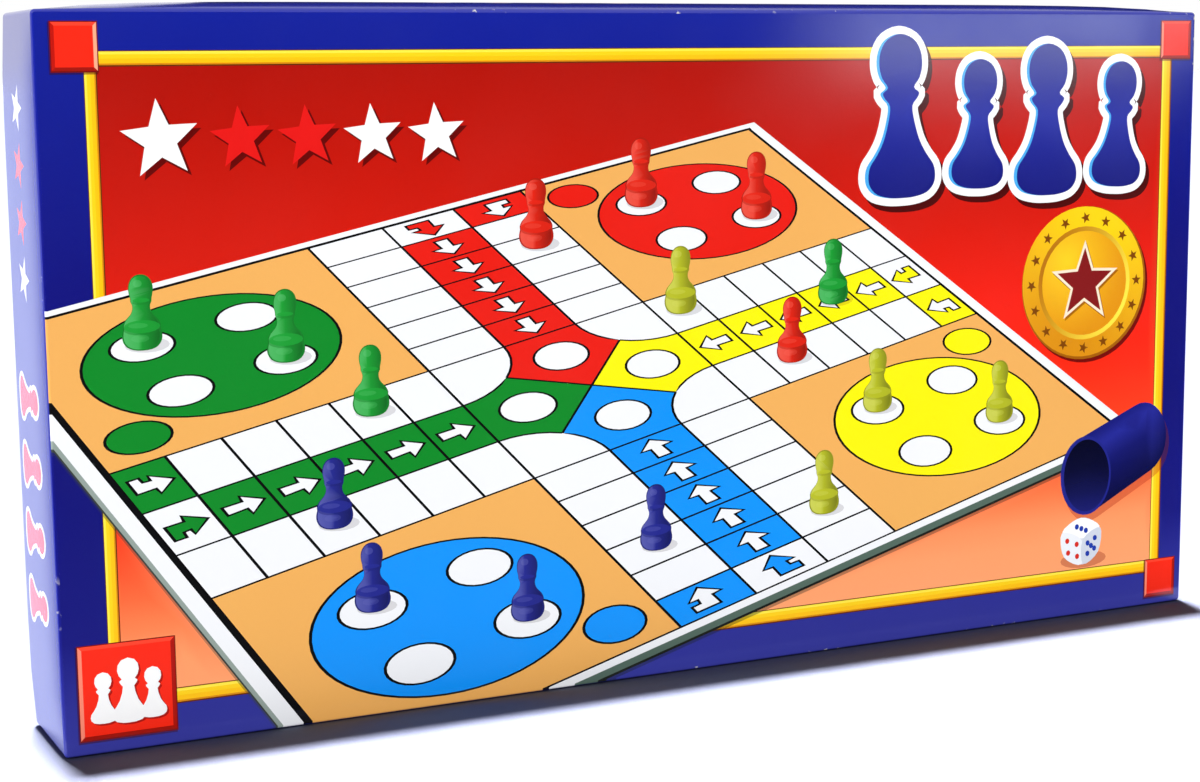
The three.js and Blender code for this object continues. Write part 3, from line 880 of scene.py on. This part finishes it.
def bulged(half_x, half_z, amount):
    """The y of a panel that stands out to the front in its middle, with a slow wave."""

    def height(x, z):
        p, q = x / half_x, z / half_z
        wave = 0.12 * math.sin(2.1 * p + 0.6) * math.sin(1.7 * q + 1.1)
        return -amount * (1 - p * p) * (1 - q * q) * (1 + wave)

    return height


def shell(name, outline, depth, sheet, turn, blue, motifs, bulge):
    """A card panel with four walls, printed outside and lined inside."""
    height = bulged((outline.x1 - outline.x0) / 2, (outline.z1 - outline.z0) / 2, bulge)
    card = Card(outline, sheet, height, turn)
    card.sweep(arc(-FOLD, FOLD, FOLD, -90, 0, 6, (None, blue)), wear=1.0)
    card.walls(FOLD, depth - RIM, blue, motifs)
    rim = arc(-RIM, depth - RIM, RIM, 0, 90, 3, (blue, blue))
    rim.append((station(-RIM, depth, 0, 1), station(RIM - WALL, depth, 0, 1), blue))
    rim += arc(RIM - WALL, depth - RIM, RIM, 90, 180, 3, (blue, blue))
    card.sweep(rim, wear=0.8)
    card.sweep(straight(-WALL, (depth - RIM, depth - TURN_IN), -1, blue, 1))
    card.sweep(straight(-WALL, (depth - TURN_IN, WALL), -1, LINING, 4), slot=1)
    card.cap(-WALL, WALL, LINING, slot=1)
    return card.build(name, [LAMINATE, LINING_CARD])


def lid_motifs(strip, side, middle):
    """A row of pawns and a row of stars on each wall, with their heads towards the panel."""
    short_wall = side in (1, 3)
    pawns_at = middle + (31 if short_wall else 44)
    stars_at = middle - (49 if short_wall else 52)
    smooth = smoothed(PAWN_SHAPE, 2)
    for k in range(4):
        shape = placed(smooth, pawns_at + (k - 1.5) * PAWN_PITCH, PAWN_FOOT, SIDE_PAWN, math.pi)
        strip.add(grown(shape, SIDE_PAWN_RIM), (248, 248, 252))
        strip.add(shape, (226, 24, 22))
    for k in range(4):
        ink = (228, 30, 24) if k in (1, 2) else (246, 246, 250)
        strip.add(star(stars_at + (k - 1.5) * STAR_PITCH, STAR_AT, SIDE_STAR, math.pi), ink)


def no_motifs(strip, side, middle):
    """The base's walls stay plain."""


# Materials


class Nodes:
    """A tree of nodes, each made in one call. An underscore stands for a space in a socket's name."""

    def __init__(self, tree):
        self.tree = tree

    def set(self, node, key, value):
        socket = node.inputs[key] if isinstance(key, int) else node.inputs[key.replace("_", " ")]
        if isinstance(value, bpy.types.NodeSocket):
            self.tree.links.new(value, socket)
        elif isinstance(value, tuple) and len(value) == 3 and socket.type == "RGBA":
            socket.default_value = (*to_linear(value), 1)
        else:
            socket.default_value = value

    def node(self, kind, settings=None, **values):
        node = self.tree.nodes.new(kind)
        for key, value in (settings or {}).items():
            setattr(node, key, value)
        for key, value in values.items():
            self.set(node, key, value)
        return node

    def spread(self, value, low, high, to_low=0.0, to_high=1.0):
        ends = {"From_Min": low, "From_Max": high, "To_Min": to_low, "To_Max": to_high}
        return self.node("ShaderNodeMapRange", Value=value, **ends).outputs["Result"]

    def math(self, how, a, b):
        node = self.node("ShaderNodeMath", {"operation": how})
        self.set(node, 0, a)
        self.set(node, 1, b)
        return node.outputs[0]

    def blend(self, how, factor, a, b):
        node = self.node("ShaderNodeMix", {"data_type": "RGBA", "blend_type": how})
        for socket, value in ((0, factor), (6, a), (7, b)):
            self.set(node, socket, value)
        return node.outputs[2]


class Look(Nodes):
    """A material of nodes round one Principled shader."""

    def __init__(self, name, **values):
        self.material = bpy.data.materials.new(name)
        self.material.use_nodes = True
        super().__init__(self.material.node_tree)
        self.shader = self.tree.nodes["Principled BSDF"]
        self.coords = self.node("ShaderNodeTexCoord").outputs["Object"]
        for key, value in values.items():
            self.set(self.shader, key, value)

    def noise(self, scale, detail=3.0):
        return self.node("ShaderNodeTexNoise", Vector=self.coords, Scale=scale, Detail=detail).outputs["Fac"]

    def varied(self, scale, detail, to_low, to_high):
        """A value that drifts between two over the surface."""
        return self.spread(self.noise(scale, detail), 0.3, 0.7, to_low, to_high)

    def toned(self, tone):
        """The mesh's own ink times a tone, and its wear."""
        ink = self.node("ShaderNodeAttribute", {"attribute_name": "ink"}).outputs
        grey = self.node("ShaderNodeCombineColor", Red=tone, Green=tone, Blue=tone).outputs[0]
        return self.blend("MULTIPLY", 1.0, ink["Color"], grey), ink["Alpha"]

    def bump(self, value, height, strength=1.0):
        node = self.node("ShaderNodeBump", Height=value, Strength=strength, Distance=height)
        previous = self.shader.inputs["Normal"]
        if previous.is_linked:
            self.tree.links.new(previous.links[0].from_socket, node.inputs["Normal"])
        self.tree.links.new(node.outputs[0], previous)

    def finished(self, base, rough, *bumps):
        self.set(self.shader, "Base_Color", base)
        self.set(self.shader, "Roughness", rough)
        for bump in bumps:
            self.bump(*bump)
        return self.material


def printed_look(name, roughness, level, film=0.00002, coat=0.0):
    """Ink from the mesh under a clear film, with rubbed folds."""
    look = Look(name, Specular_IOR_Level=level, Coat_Weight=coat, Coat_Roughness=roughness)
    base, wear = look.toned(look.varied(9, 2, 0.975, 1.02))
    scuffs = look.spread(look.noise(420, 5), 0.62, 0.7)
    zones = look.spread(look.noise(28, 2), 0.56, 0.68)
    worn = look.math("MULTIPLY", look.math("MULTIPLY", scuffs, zones), wear)
    rough = look.varied(35, 4, roughness - 0.05, roughness + 0.06)
    return look.finished(
        look.blend("MIX", worn, base, RUBBED_PAPER),
        look.math("ADD", rough, look.math("MULTIPLY", worn, 0.4)),
        (look.noise(1500, 2), film),
        (look.noise(45, 2), 0.00012, 0.5),
    )


def card_look(name, roughness=0.75, fibre=0.00004):
    """Ink from the mesh on bare paper with flecks."""
    look = Look(name, Specular_IOR_Level=0.3)
    base, _ = look.toned(look.spread(look.noise(900, 6), 0.35, 0.65, 0.93, 1.03))
    rough = look.varied(60, 3, roughness - 0.08, roughness + 0.08)
    return look.finished(base, rough, (look.noise(1300, 5), fibre))


def plastic_look(name, colour, roughness, grain, mottle=0.08):
    look = Look(name, Specular_IOR_Level=0.5)
    tone = look.varied(70, 3, 0.0, 1.0)
    base = look.blend("MIX", tone, mix(colour, (0, 0, 0), mottle), mix(colour, (255, 255, 255), 0.05))
    rough = look.varied(160, 4, roughness - 0.06, roughness + 0.08)
    return look.finished(base, rough, (look.noise(2200, 2), grain), (look.noise(120, 2), grain * 4, 0.6))


def leather_paper_look(name, colour):
    """Embossed paper: small cells with painted shade darkening the grooves between them."""
    look = Look(name, Specular_IOR_Level=0.35)
    edges = {"feature": "DISTANCE_TO_EDGE"}
    cells = look.node("ShaderNodeTexVoronoi", edges, Vector=look.coords, Scale=900.0)
    grain = look.spread(cells.outputs["Distance"], 0.0, 0.28)
    # The grooves between the cells are painted darker as shade; the same values bump the surface.
    base = look.blend("MIX", grain, mix(colour, (0, 0, 0), 0.35), mix(colour, (255, 255, 255), 0.04))
    return look.finished(base, look.varied(50, 3, 0.42, 0.58), (grain, 0.00006))


def cloth_look(name, colour):
    """Two sets of threads that cross, painted darker between the threads as shade."""
    look = Look(name, Specular_IOR_Level=0.25, Sheen_Weight=0.2, Sheen_Roughness=0.5)
    threads = {"Vector": look.coords, "Scale": 620.0, "Distortion": 0.6}
    across, up = [look.node("ShaderNodeTexWave", {"bands_direction": way}, **threads) for way in ("X", "Z")]
    weave = look.math("MULTIPLY", across.outputs["Fac"], up.outputs["Fac"])
    # Where the threads part, the colour is darkened as painted shade.
    base = look.blend("MIX", weave, mix(colour, (0, 0, 0), 0.45), mix(colour, (255, 255, 255), 0.1))
    return look.finished(base, look.varied(200, 3, 0.62, 0.78), (weave, 0.00005))


RUBBED_PAPER = (222, 219, 212)
LAMINATE = printed_look("laminated_print", roughness=0.17, level=0.45, coat=0.5)
LINING_CARD = card_look("box_lining")
LITHO = printed_look("board_print", roughness=0.34, level=0.4)
BOARD_BACK = leather_paper_look("board_back_paper", (26, 34, 112))
BOARD_CORE = card_look("grey_board_edge", roughness=0.85)
LEAFLET = card_look("leaflet_print", roughness=0.6, fibre=0.00002)
TAPE = cloth_look("book_cloth", (30, 30, 40))
TRAY = plastic_look("formed_sheet", (238, 239, 236), roughness=0.34, grain=0.000008, mottle=0.025)
CUP = plastic_look("cup_plastic", (16, 20, 96), roughness=0.32, grain=0.000012)
DIE = printed_look("die_plastic", roughness=0.22, level=0.5, film=0.000004)
COUNTER_LOOKS = {
    name: plastic_look("counter_" + name, colour, roughness=0.22, grain=0.000006)
    for name, colour in PAWN_COLOURS.items()
}


# Box

FRONT_Y, BACK_Y, MIDDLE_Z = -17.5, 17.5, FACE_H / 2
lid_outline = Outline(-FACE_W / 2, -FACE_H / 2, FACE_W / 2, FACE_H / 2, CORNER, CORNER, LID_BOWS)
lid_turn = Matrix.Translation((0, FRONT_Y, MIDDLE_Z))
lid_front = front_sheet(lid_outline, FOLD)
lid = shell("lid_print", lid_outline, LID_DEPTH, lid_front, lid_turn, BORDER_BLUE, lid_motifs, LID_BULGE)
stands_for(lid, "lid", "lid")

base_outline = Outline(-BASE_HALF_X, -BASE_HALF_Z, BASE_HALF_X, BASE_HALF_Z, CORNER, CORNER)
base_turn = Matrix.Translation((0, BACK_Y, MIDDLE_Z)) @ Matrix.Rotation(math.pi, 4, "Z")
base_back = Sheet(base_outline.points(FOLD, spacing=20), BASE_BLUE)
base_back.grid(-172, -84, 172, 84, 12)
base = shell("base_wrap", base_outline, BASE_DEPTH, base_back, base_turn, BASE_BLUE, no_motifs, BASE_BULGE)
stands_for(base, "base", "base")


# Game board

BOARD, THICK, BOARD_EDGE_R = 355, 1.8, 0.4
PIVOT_Y, PIVOT_Z = -13.7, 180.6
REAR_Y = -13.5
UNIT = BOARD / (SPAN + 2 * GRID_MARGIN)
BOARD_LOW, REAR_TOP, FRONT_LOW, BOARD_HIGH = 3.1, 180.35, 180.85, 358.1
OUTER_CORNER, FOLD_CORNER = 2, 0.6


def open_board_at(a, b):
    """Grid units to the open board's place above the floor of the box."""
    return (a + GRID_MARGIN) * UNIT - BOARD / 2, (b + GRID_MARGIN) * UNIT + BOARD_LOW


def board_half(name, z0, z1, low, high, turn):
    """Half of the open board, with its print to the front and paper on its back."""
    outline = Outline(-BOARD / 2, z0, BOARD / 2, z1, low, high)
    r = BOARD_EDGE_R
    sheet = Sheet(outline.points(r), PAPER_WHITE)
    sheet.grid(-170, z0 + 8, 170, z1 - 8, 14)
    ludo_grid(sheet, open_board_at)
    card = Card(outline, sheet, lambda x, z: REAR_Y, turn)
    front, back = REAR_Y + r, REAR_Y + THICK - r
    card.sweep(arc(-r, front, r, -90, 0, 3, (None, PAPER_WHITE)), wear=0.6)
    card.sweep([(station(0, front, 1, 0), station(0, back, 1, 0), BOARD_EDGE)], slot=1)
    card.sweep(arc(-r, back, r, 0, 90, 3, (BOARD_EDGE, BOARD_EDGE)), slot=2)
    card.cap(-r, REAR_Y + THICK, BOARD_EDGE, slot=2)
    return card.build(name, [LITHO, BOARD_CORE, BOARD_BACK])


rear = board_half("board_print_rear", BOARD_LOW, REAR_TOP, OUTER_CORNER, FOLD_CORNER, Matrix.Identity(4))
over = Matrix.Translation((0, 2 * PIVOT_Y, 2 * PIVOT_Z)) @ Matrix.Rotation(math.pi, 4, "X")
front_half = board_half("board_print_front", FRONT_LOW, BOARD_HIGH, FOLD_CORNER, OUTER_CORNER, over)
stands_for(rear, "board_half_rear", "board_rear")
stands_for(front_half, "board_half_front", "board_front")


# Tape over the fold: a U-shaped strip with many small steps over the top

TAPE_T, TAPE_X, TAPE_CUTS = 0.25, 175.5, 60
TAPE_OUT, TAPE_LOW, TAPE_TOP = 2.3, 169.35, 180.65
TAPE_BEND = 0.7


def tape_path(inset):
    """One face of the tape's section, from the back's end over the top to the front's."""
    reach, top, r = TAPE_OUT - inset, TAPE_TOP - inset, TAPE_BEND - inset
    out = [(reach, TAPE_LOW), (reach, TAPE_LOW + 4), (reach, top - r - 1)]
    out += [(reach - r + r * math.cos(a), top - r + r * math.sin(a)) for a in angles(0, 90, 6)]
    out += [(reach - r - (reach - r) * k / 6, top) for k in range(1, 7)]
    return out + [(-y, z) for y, z in out[-2::-1]]


def make_tape():
    outer, inner = tape_path(0), tape_path(TAPE_T)
    section = outer + inner[::-1]
    n, half = len(section), len(outer)
    verts, rings = [], []
    for i in range(TAPE_CUTS + 1):
        x = -TAPE_X + 2 * TAPE_X * i / TAPE_CUTS
        rings.append(range(i * n, i * n + n))
        verts += [(x * MM, (PIVOT_Y + y) * MM, z * MM) for y, z in section]
    faces = bands(rings)
    for ring, flip in ((rings[0], False), (rings[-1], True)):
        for k in range(half - 1):
            quad = (ring[k], ring[n - 1 - k], ring[n - 2 - k], ring[k + 1])
            faces.append(quad[::-1] if flip else quad)
    return finished_object("hinge_tape", verts, faces, TAPE, 35)


tape = make_tape()
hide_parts("board_hinge_tape")
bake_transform(tape)


# Leaflet: two leaves that meet in a fold at the left

LEAF_W, LEAF_H, LEAF_T, LEAF_GAP = 210, 148, 0.15, 0.1
LEAF_Y = -11.1
LEAF_STEPS = 6
PAPER, TEXT_GREY, BAND_BLUE = (243, 241, 234), (98, 98, 106), (34, 44, 150)
TEXT_PITCH, TEXT_HEIGHT = 7, 1.3
# Ways down from the page's upper edge
TEXT_DOWN, GRID_DOWN, NOTES_DOWN = 32, 112, 124


def leaflet_sheet(left):
    """The leaflet's front page: a band with stars, a small board and lines of grey bars for text."""
    right, low, top = LEAF_W / 2, BOARD_LOW, BOARD_LOW + LEAF_H
    sheet = Sheet(box(left, low, right, top), PAPER)
    sheet.add(box(left + 10, top - 22, right - 8, top - 9), BAND_BLUE)
    for k in range(5):
        sheet.add(star(left + 22 + 10 * k, top - 15.5, 3.4), (250, 250, 252))
    side = 5.2
    ludo_grid(sheet, lambda a, b: (left + 16 + a * side, top - GRID_DOWN + b * side), PAPER)
    for k in range(14):
        y = top - TEXT_DOWN - TEXT_PITCH * k
        ragged = k * 37 % 23
        sheet.add(box(5, y, right - 10 - ragged, y + TEXT_HEIGHT), TEXT_GREY)
    for k in range(2):
        y = top - NOTES_DOWN - TEXT_PITCH * k
        sheet.add(box(left + 14, y, -14 - 9 * k, y + TEXT_HEIGHT), TEXT_GREY)
    return sheet


def make_leaflet():
    skin = Skin()
    x0, x1, z0, z1 = -LEAF_W / 2, LEAF_W / 2, BOARD_LOW, BOARD_LOW + LEAF_H
    r = LEAF_T + LEAF_GAP / 2
    skin.lay(leaflet_sheet(x0 + r), on_surface(lambda x, z: LEAF_Y))

    def section(reach):
        turns = angles(-90, -270, LEAF_STEPS)
        bend = [(x0 + r + reach * math.cos(t), reach * math.sin(t), math.cos(t), math.sin(t)) for t in turns]
        return [(x1, -reach, 0, -1), *bend, (x1, reach, 0, 1)]

    def corner(point, z, normal):
        return (point[0], LEAF_Y + r + point[1], z), normal, PAPER, 0

    outer, inner = section(r), section(r - LEAF_T)
    for path, sign in ((outer, 1), (inner, -1)):
        for k, (a, b) in enumerate(zip(path, path[1:])):
            if path is inner or k:
                na, nb = [(sign * p[2], sign * p[3], 0) for p in (a, b)]
                quad = [corner(a, z0, na), corner(b, z0, nb), corner(b, z1, nb), corner(a, z1, na)]
                skin.face(quad[::-sign])
    for z, up in ((z0, -1), (z1, 1)):
        for k in range(len(outer) - 1):
            quad = [corner(p, z, (0, 0, up)) for p in (outer[k], outer[k + 1], inner[k + 1], inner[k])]
            skin.face(quad[::-up])
    for a, b in ((outer[0], inner[0]), (inner[-1], outer[-1])):
        skin.face([corner(p, z, (1, 0, 0)) for p, z in ((a, z0), (b, z0), (b, z1), (a, z1))])
    return skin.build("folded_leaflet", [LEAFLET])


stands_for(make_leaflet(), "rules_leaflet", "leaflet")


# Loose pieces


def lathe(name, profile, segments, material):
    """A turned piece round Z from (radius, height) in millimetres."""
    verts, rings = [], []
    for r, z in profile:
        first = len(verts)
        turns = [2 * math.pi * k / segments for k in range(segments)] if r > 1e-6 else [0]
        verts += [(r * math.cos(a) * MM, r * math.sin(a) * MM, z * MM) for a in turns]
        rings.append(range(first, len(verts)))
    return finished_object(name, verts, bands(rings), material, 50)


def curved(points, steps):
    """A smooth open line through points."""
    out = []
    for i in range(len(points) - 1):
        four = [points[max(i - 1, 0)], points[i], points[i + 1], points[min(i + 2, len(points) - 1)]]
        out += [curve_point(four, k / steps) for k in range(steps)]
    return out + [points[-1]]


COUNTER_H = 24
COUNTER_PROFILE = [
    (0.0, 0.03), (0.10, 0.03), (0.135, 0.012), (0.15, 0.0), (0.215, 0.0), (0.252, 0.012), (0.26, 0.04),
    (0.26, 0.115), (0.248, 0.148), (0.215, 0.175), (0.185, 0.24), (0.155, 0.34), (0.125, 0.44), (0.103, 0.53),
    (0.098, 0.575), (0.118, 0.605), (0.137, 0.625), (0.137, 0.65), (0.118, 0.67), (0.125, 0.695),
    (0.155, 0.745), (0.17, 0.815), (0.16, 0.89), (0.125, 0.95), (0.065, 0.99), (0.0, 1.0),
]

profile = [(max(r, 0) * COUNTER_H, z * COUNTER_H) for r, z in curved(COUNTER_PROFILE, 3)]
for colour in ("red", "green", "yellow", "blue"):
    for k in range(1, 5):
        node = f"counter_{colour}_{k}"
        low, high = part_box(node)
        pawn = lathe(f"pawn_{colour}_{k}", profile, 40, COUNTER_LOOKS[colour])
        pawn.location = ((low.x + high.x) / 2, (low.y + high.y) / 2, low.z)
        stands_for(pawn, node, node)

CUP_LENGTH = 48
CUP_OUTSIDE = [
    (0, 0.4), (8.6, 0.4), (9.3, 0.1), (9.8, 0), (11.6, 0), (12.1, 0.15), (12.3, 0.55), (12.3, 2.3),
    (12.15, 2.75), (11.7, 3), (11.15, 3.3), (11.0, 4), (10.95, 12), (11.05, 24), (11.2, 38), (11.3, 44.6),
    (11.5, 45.3), (12.0, 45.6), (12.3, 46.1), (12.3, 47.4), (12.15, 47.85), (11.75, 48), (10.6, 48),
    (10.2, 47.85), (10.1, 47.4),
]
CUP_INSIDE = [(9.95, 30), (9.75, 4), (9.5, 2.1), (8.8, 1.35), (7.6, 1.2), (0, 1.2)]

cup = lathe("dice_cup_shell", CUP_OUTSIDE + CUP_INSIDE, 72, CUP)
low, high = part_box("dice_cup")
cup.location = (CUP_LENGTH / 2 * MM, (low.y + high.y) / 2, (low.z + high.z) / 2)
cup.rotation_euler = (0, -math.pi / 2, 0)
stands_for(cup, "dice_cup", "dice_cup")

DIE_SIZE, DIE_R = 12, 1.9
PIP_PITCH, PIP_R, PIP_DEPTH = 3, 1.05, 0.5
CORNER_PIPS = ((-1, -1), (1, -1), (1, 1), (-1, 1))
PIPS = {
    1: ((0, 0),), 2: ((-1, -1), (1, 1)), 3: ((-1, -1), (0, 0), (1, 1)), 4: CORNER_PIPS,
    5: (*CORNER_PIPS, (0, 0)), 6: ((-1, -1), (-1, 0), (-1, 1), (1, -1), (1, 0), (1, 1)),
}
PIP_INKS = {1: (214, 34, 26), 4: (214, 34, 26)}
DIE_WHITE, PIP_BLUE = (246, 247, 244), (24, 48, 170)


def quarters(axis, count):
    return Matrix.Rotation(count * math.pi / 2, 4, axis)


DIE_TURNS = {
    2: quarters("Z", 0), 5: quarters("Z", 2), 3: quarters("Z", 1), 4: quarters("Z", -1), 1: quarters("X", -1),
    6: quarters("X", 1),
}


def rounded_cube(x, z, pips):
    """Where a point of the face that looks to -y lies on the rounded cube, with its dished pips."""
    half, core = DIE_SIZE / 2, DIE_SIZE / 2 - DIE_R
    heart = Vector((min(max(x, -core), core), -core, min(max(z, -core), core)))
    out = (Vector((x, -half, z)) - heart).normalized()
    place = heart + out * DIE_R
    for px, pz in pips:
        dx, dz = x - px * PIP_PITCH, z - pz * PIP_PITCH
        t = (dx * dx + dz * dz) / PIP_R ** 2
        if t < 1:
            place.y += PIP_DEPTH * (1 - t) ** 1.5
            slope = 3 * PIP_DEPTH * (1 - t) ** 0.5 / PIP_R ** 2
            return place, Vector((-slope * dx, -1, -slope * dz)).normalized()
    return place, out


def make_die(centre):
    skin = Skin()
    half = DIE_SIZE / 2
    for number, turn in DIE_TURNS.items():
        sheet = Sheet(box(-half, -half, half, half), DIE_WHITE)
        edges = [half, half - 0.5, half - 1, half - 1.5, half - 1.9]
        stops = [-e for e in edges] + [0] + edges[::-1]
        sheet.points += [(x, z) for x in stops for z in stops]
        for px, pz in PIPS[number]:
            for share in (1, 0.85, 0.6, 0.3):
                ring = disc(px * PIP_PITCH, pz * PIP_PITCH, PIP_R * share, steps=20)
                sheet.add(ring, PIP_INKS.get(number, PIP_BLUE))
        skin.turn = Matrix.Translation(centre) @ turn
        skin.lay(sheet, lambda x, z: rounded_cube(x, z, PIPS[number]))
    return skin.build("pipped_die", [DIE])


low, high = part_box("die")
stands_for(make_die((low + high) / 2 / MM), "die", "die")

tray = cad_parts["insert_tray"]
tray.data.materials.clear()
tray.data.materials.append(TRAY)


# Floor, world and lamps


WORLD_LEVEL = 0.18
FLOOR_SEEN, FLOOR_BOUNCE = (0.176, 0.188, 0.26), (0.15, 0.15, 0.15)
FLOOR_HALF, FLOOR_Z = 60.0, -0.0002
KEY_PLACE = (0.008, 0.12, 1.2)
HAZE_PLACE, HAZE_AIM, HAZE_BLUE = (0.3525, -0.34, 0.197), (0.3525, 0, 0.197), (0.86, 0.92, 1.0)


def cleared(owner):
    """The owner's empty tree of nodes, and 1 for what is seen directly, in a mirror or through glass."""
    owner.use_nodes = True
    owner.node_tree.nodes.clear()
    nodes = Nodes(owner.node_tree)
    rays = nodes.node("ShaderNodeLightPath").outputs
    seen = nodes.math("MAXIMUM", rays["Is Camera Ray"], rays["Is Glossy Ray"])
    return nodes, nodes.math("MAXIMUM", seen, rays["Is Transmission Ray"])


def make_world():
    world = bpy.data.worlds.new("studio")
    bpy.context.scene.world = world
    world.cycles.sampling_method = "NONE"
    nodes, seen = cleared(world)
    level = nodes.spread(seen, 0.0, 1.0, WORLD_LEVEL, 1.0)
    back = nodes.node("ShaderNodeBackground", Color=(1, 1, 1, 1), Strength=level)
    nodes.node("ShaderNodeOutputWorld", Surface=back.outputs[0])


def flat_mesh(name, half_x, half_y, z, material):
    corners = [(x, y, z) for x, y in box(-half_x, -half_y, half_x, half_y)]
    return new_mesh(name, corners, [(0, 1, 2, 3)], material)


def make_floor():
    material = bpy.data.materials.new("floor")
    nodes, seen = cleared(material)
    tone = nodes.blend("MIX", seen, (*FLOOR_BOUNCE, 1), (*FLOOR_SEEN, 1))
    matt = nodes.node("ShaderNodeBsdfDiffuse", Color=tone)
    nodes.node("ShaderNodeOutputMaterial", Surface=matt.outputs[0])
    floor = new_object("floor", flat_mesh("floor", FLOOR_HALF, FLOOR_HALF, FLOOR_Z, material))
    return floor


def aimed(name, data, place, aim):
    obj = new_object(name, data)
    obj.location = place
    obj.rotation_euler = (Vector(aim) - Vector(place)).to_track_quat("-Z", "Y").to_euler()
    return obj


def lamp(name, kind, place, aim, **settings):
    data = bpy.data.lights.new(name, kind)
    for key, value in settings.items():
        setattr(data, key, value)
    return aimed(name, data, place, aim)


def glint(name, place, aim, width, height, power, colour=(1, 1, 1)):
    """A card of light that only reflections see."""
    card = lamp(
        name, "AREA", place, aim, shape="RECTANGLE", size=width, size_y=height, energy=power, color=colour
    )
    card.visible_diffuse = card.visible_camera = card.visible_transmission = False


def sun(name, place, strength, spread):
    """A sun that reflections don't see, its spread in degrees."""
    light = lamp(name, "SUN", place, (0, 0, 0), energy=strength, angle=math.radians(spread))
    light.visible_glossy = False
    return light


def linked(light, collection, state):
    """Keeps a light to the floor, or off it."""
    light.light_linking.receiver_collection = collection
    for entry in collection.collection_objects:
        entry.light_linking.link_state = state


def flag(place, aim, width, height):
    """A dark card that only reflections see."""
    dark = Look("flag", Base_Color=(0.02, 0.02, 0.02, 1), Roughness=1.0, Specular_IOR_Level=0.0).material
    card = aimed("flag", flat_mesh("flag", width / 2, height / 2, 0, dark), place, aim)
    card.visible_camera = card.visible_diffuse = card.visible_shadow = card.visible_transmission = False


make_world()
floor = make_floor()
only_floor, off_floor = (bpy.data.collections.new(name) for name in ("only_floor", "off_floor"))
only_floor.objects.link(floor)
off_floor.objects.link(floor)
sun("key", KEY_PLACE, strength=2.2, spread=3.6)
linked(sun("floor_key", KEY_PLACE, strength=17, spread=3.0), only_floor, "INCLUDE")
linked(sun("front", (-1.3, -1.0, 0.3), strength=3.62, spread=10), off_floor, "EXCLUDE")
linked(sun("back", (1.3, 1.0, 0.25), strength=1.8, spread=10), off_floor, "EXCLUDE")
glint("haze", HAZE_PLACE, HAZE_AIM, width=0.215, height=0.044, power=0.11, colour=HAZE_BLUE)
glint("softbox", (-1.2, -1.6, 1.1), (0, 0, 0.1), width=0.9, height=0.7, power=5)
flag((0.4, -0.36, 0.14), (0.4, 0, 0.14), width=2.4, height=0.28)
flag((0.4, -0.191, 0.003), (0.4, -0.191, 1), width=2.4, height=0.338)
flag((1.1, 1.0, 0.62), (1.1, 0, 0.62), width=1.9, height=1.2)
bpy.context.scene.view_settings.view_transform = "Standard"
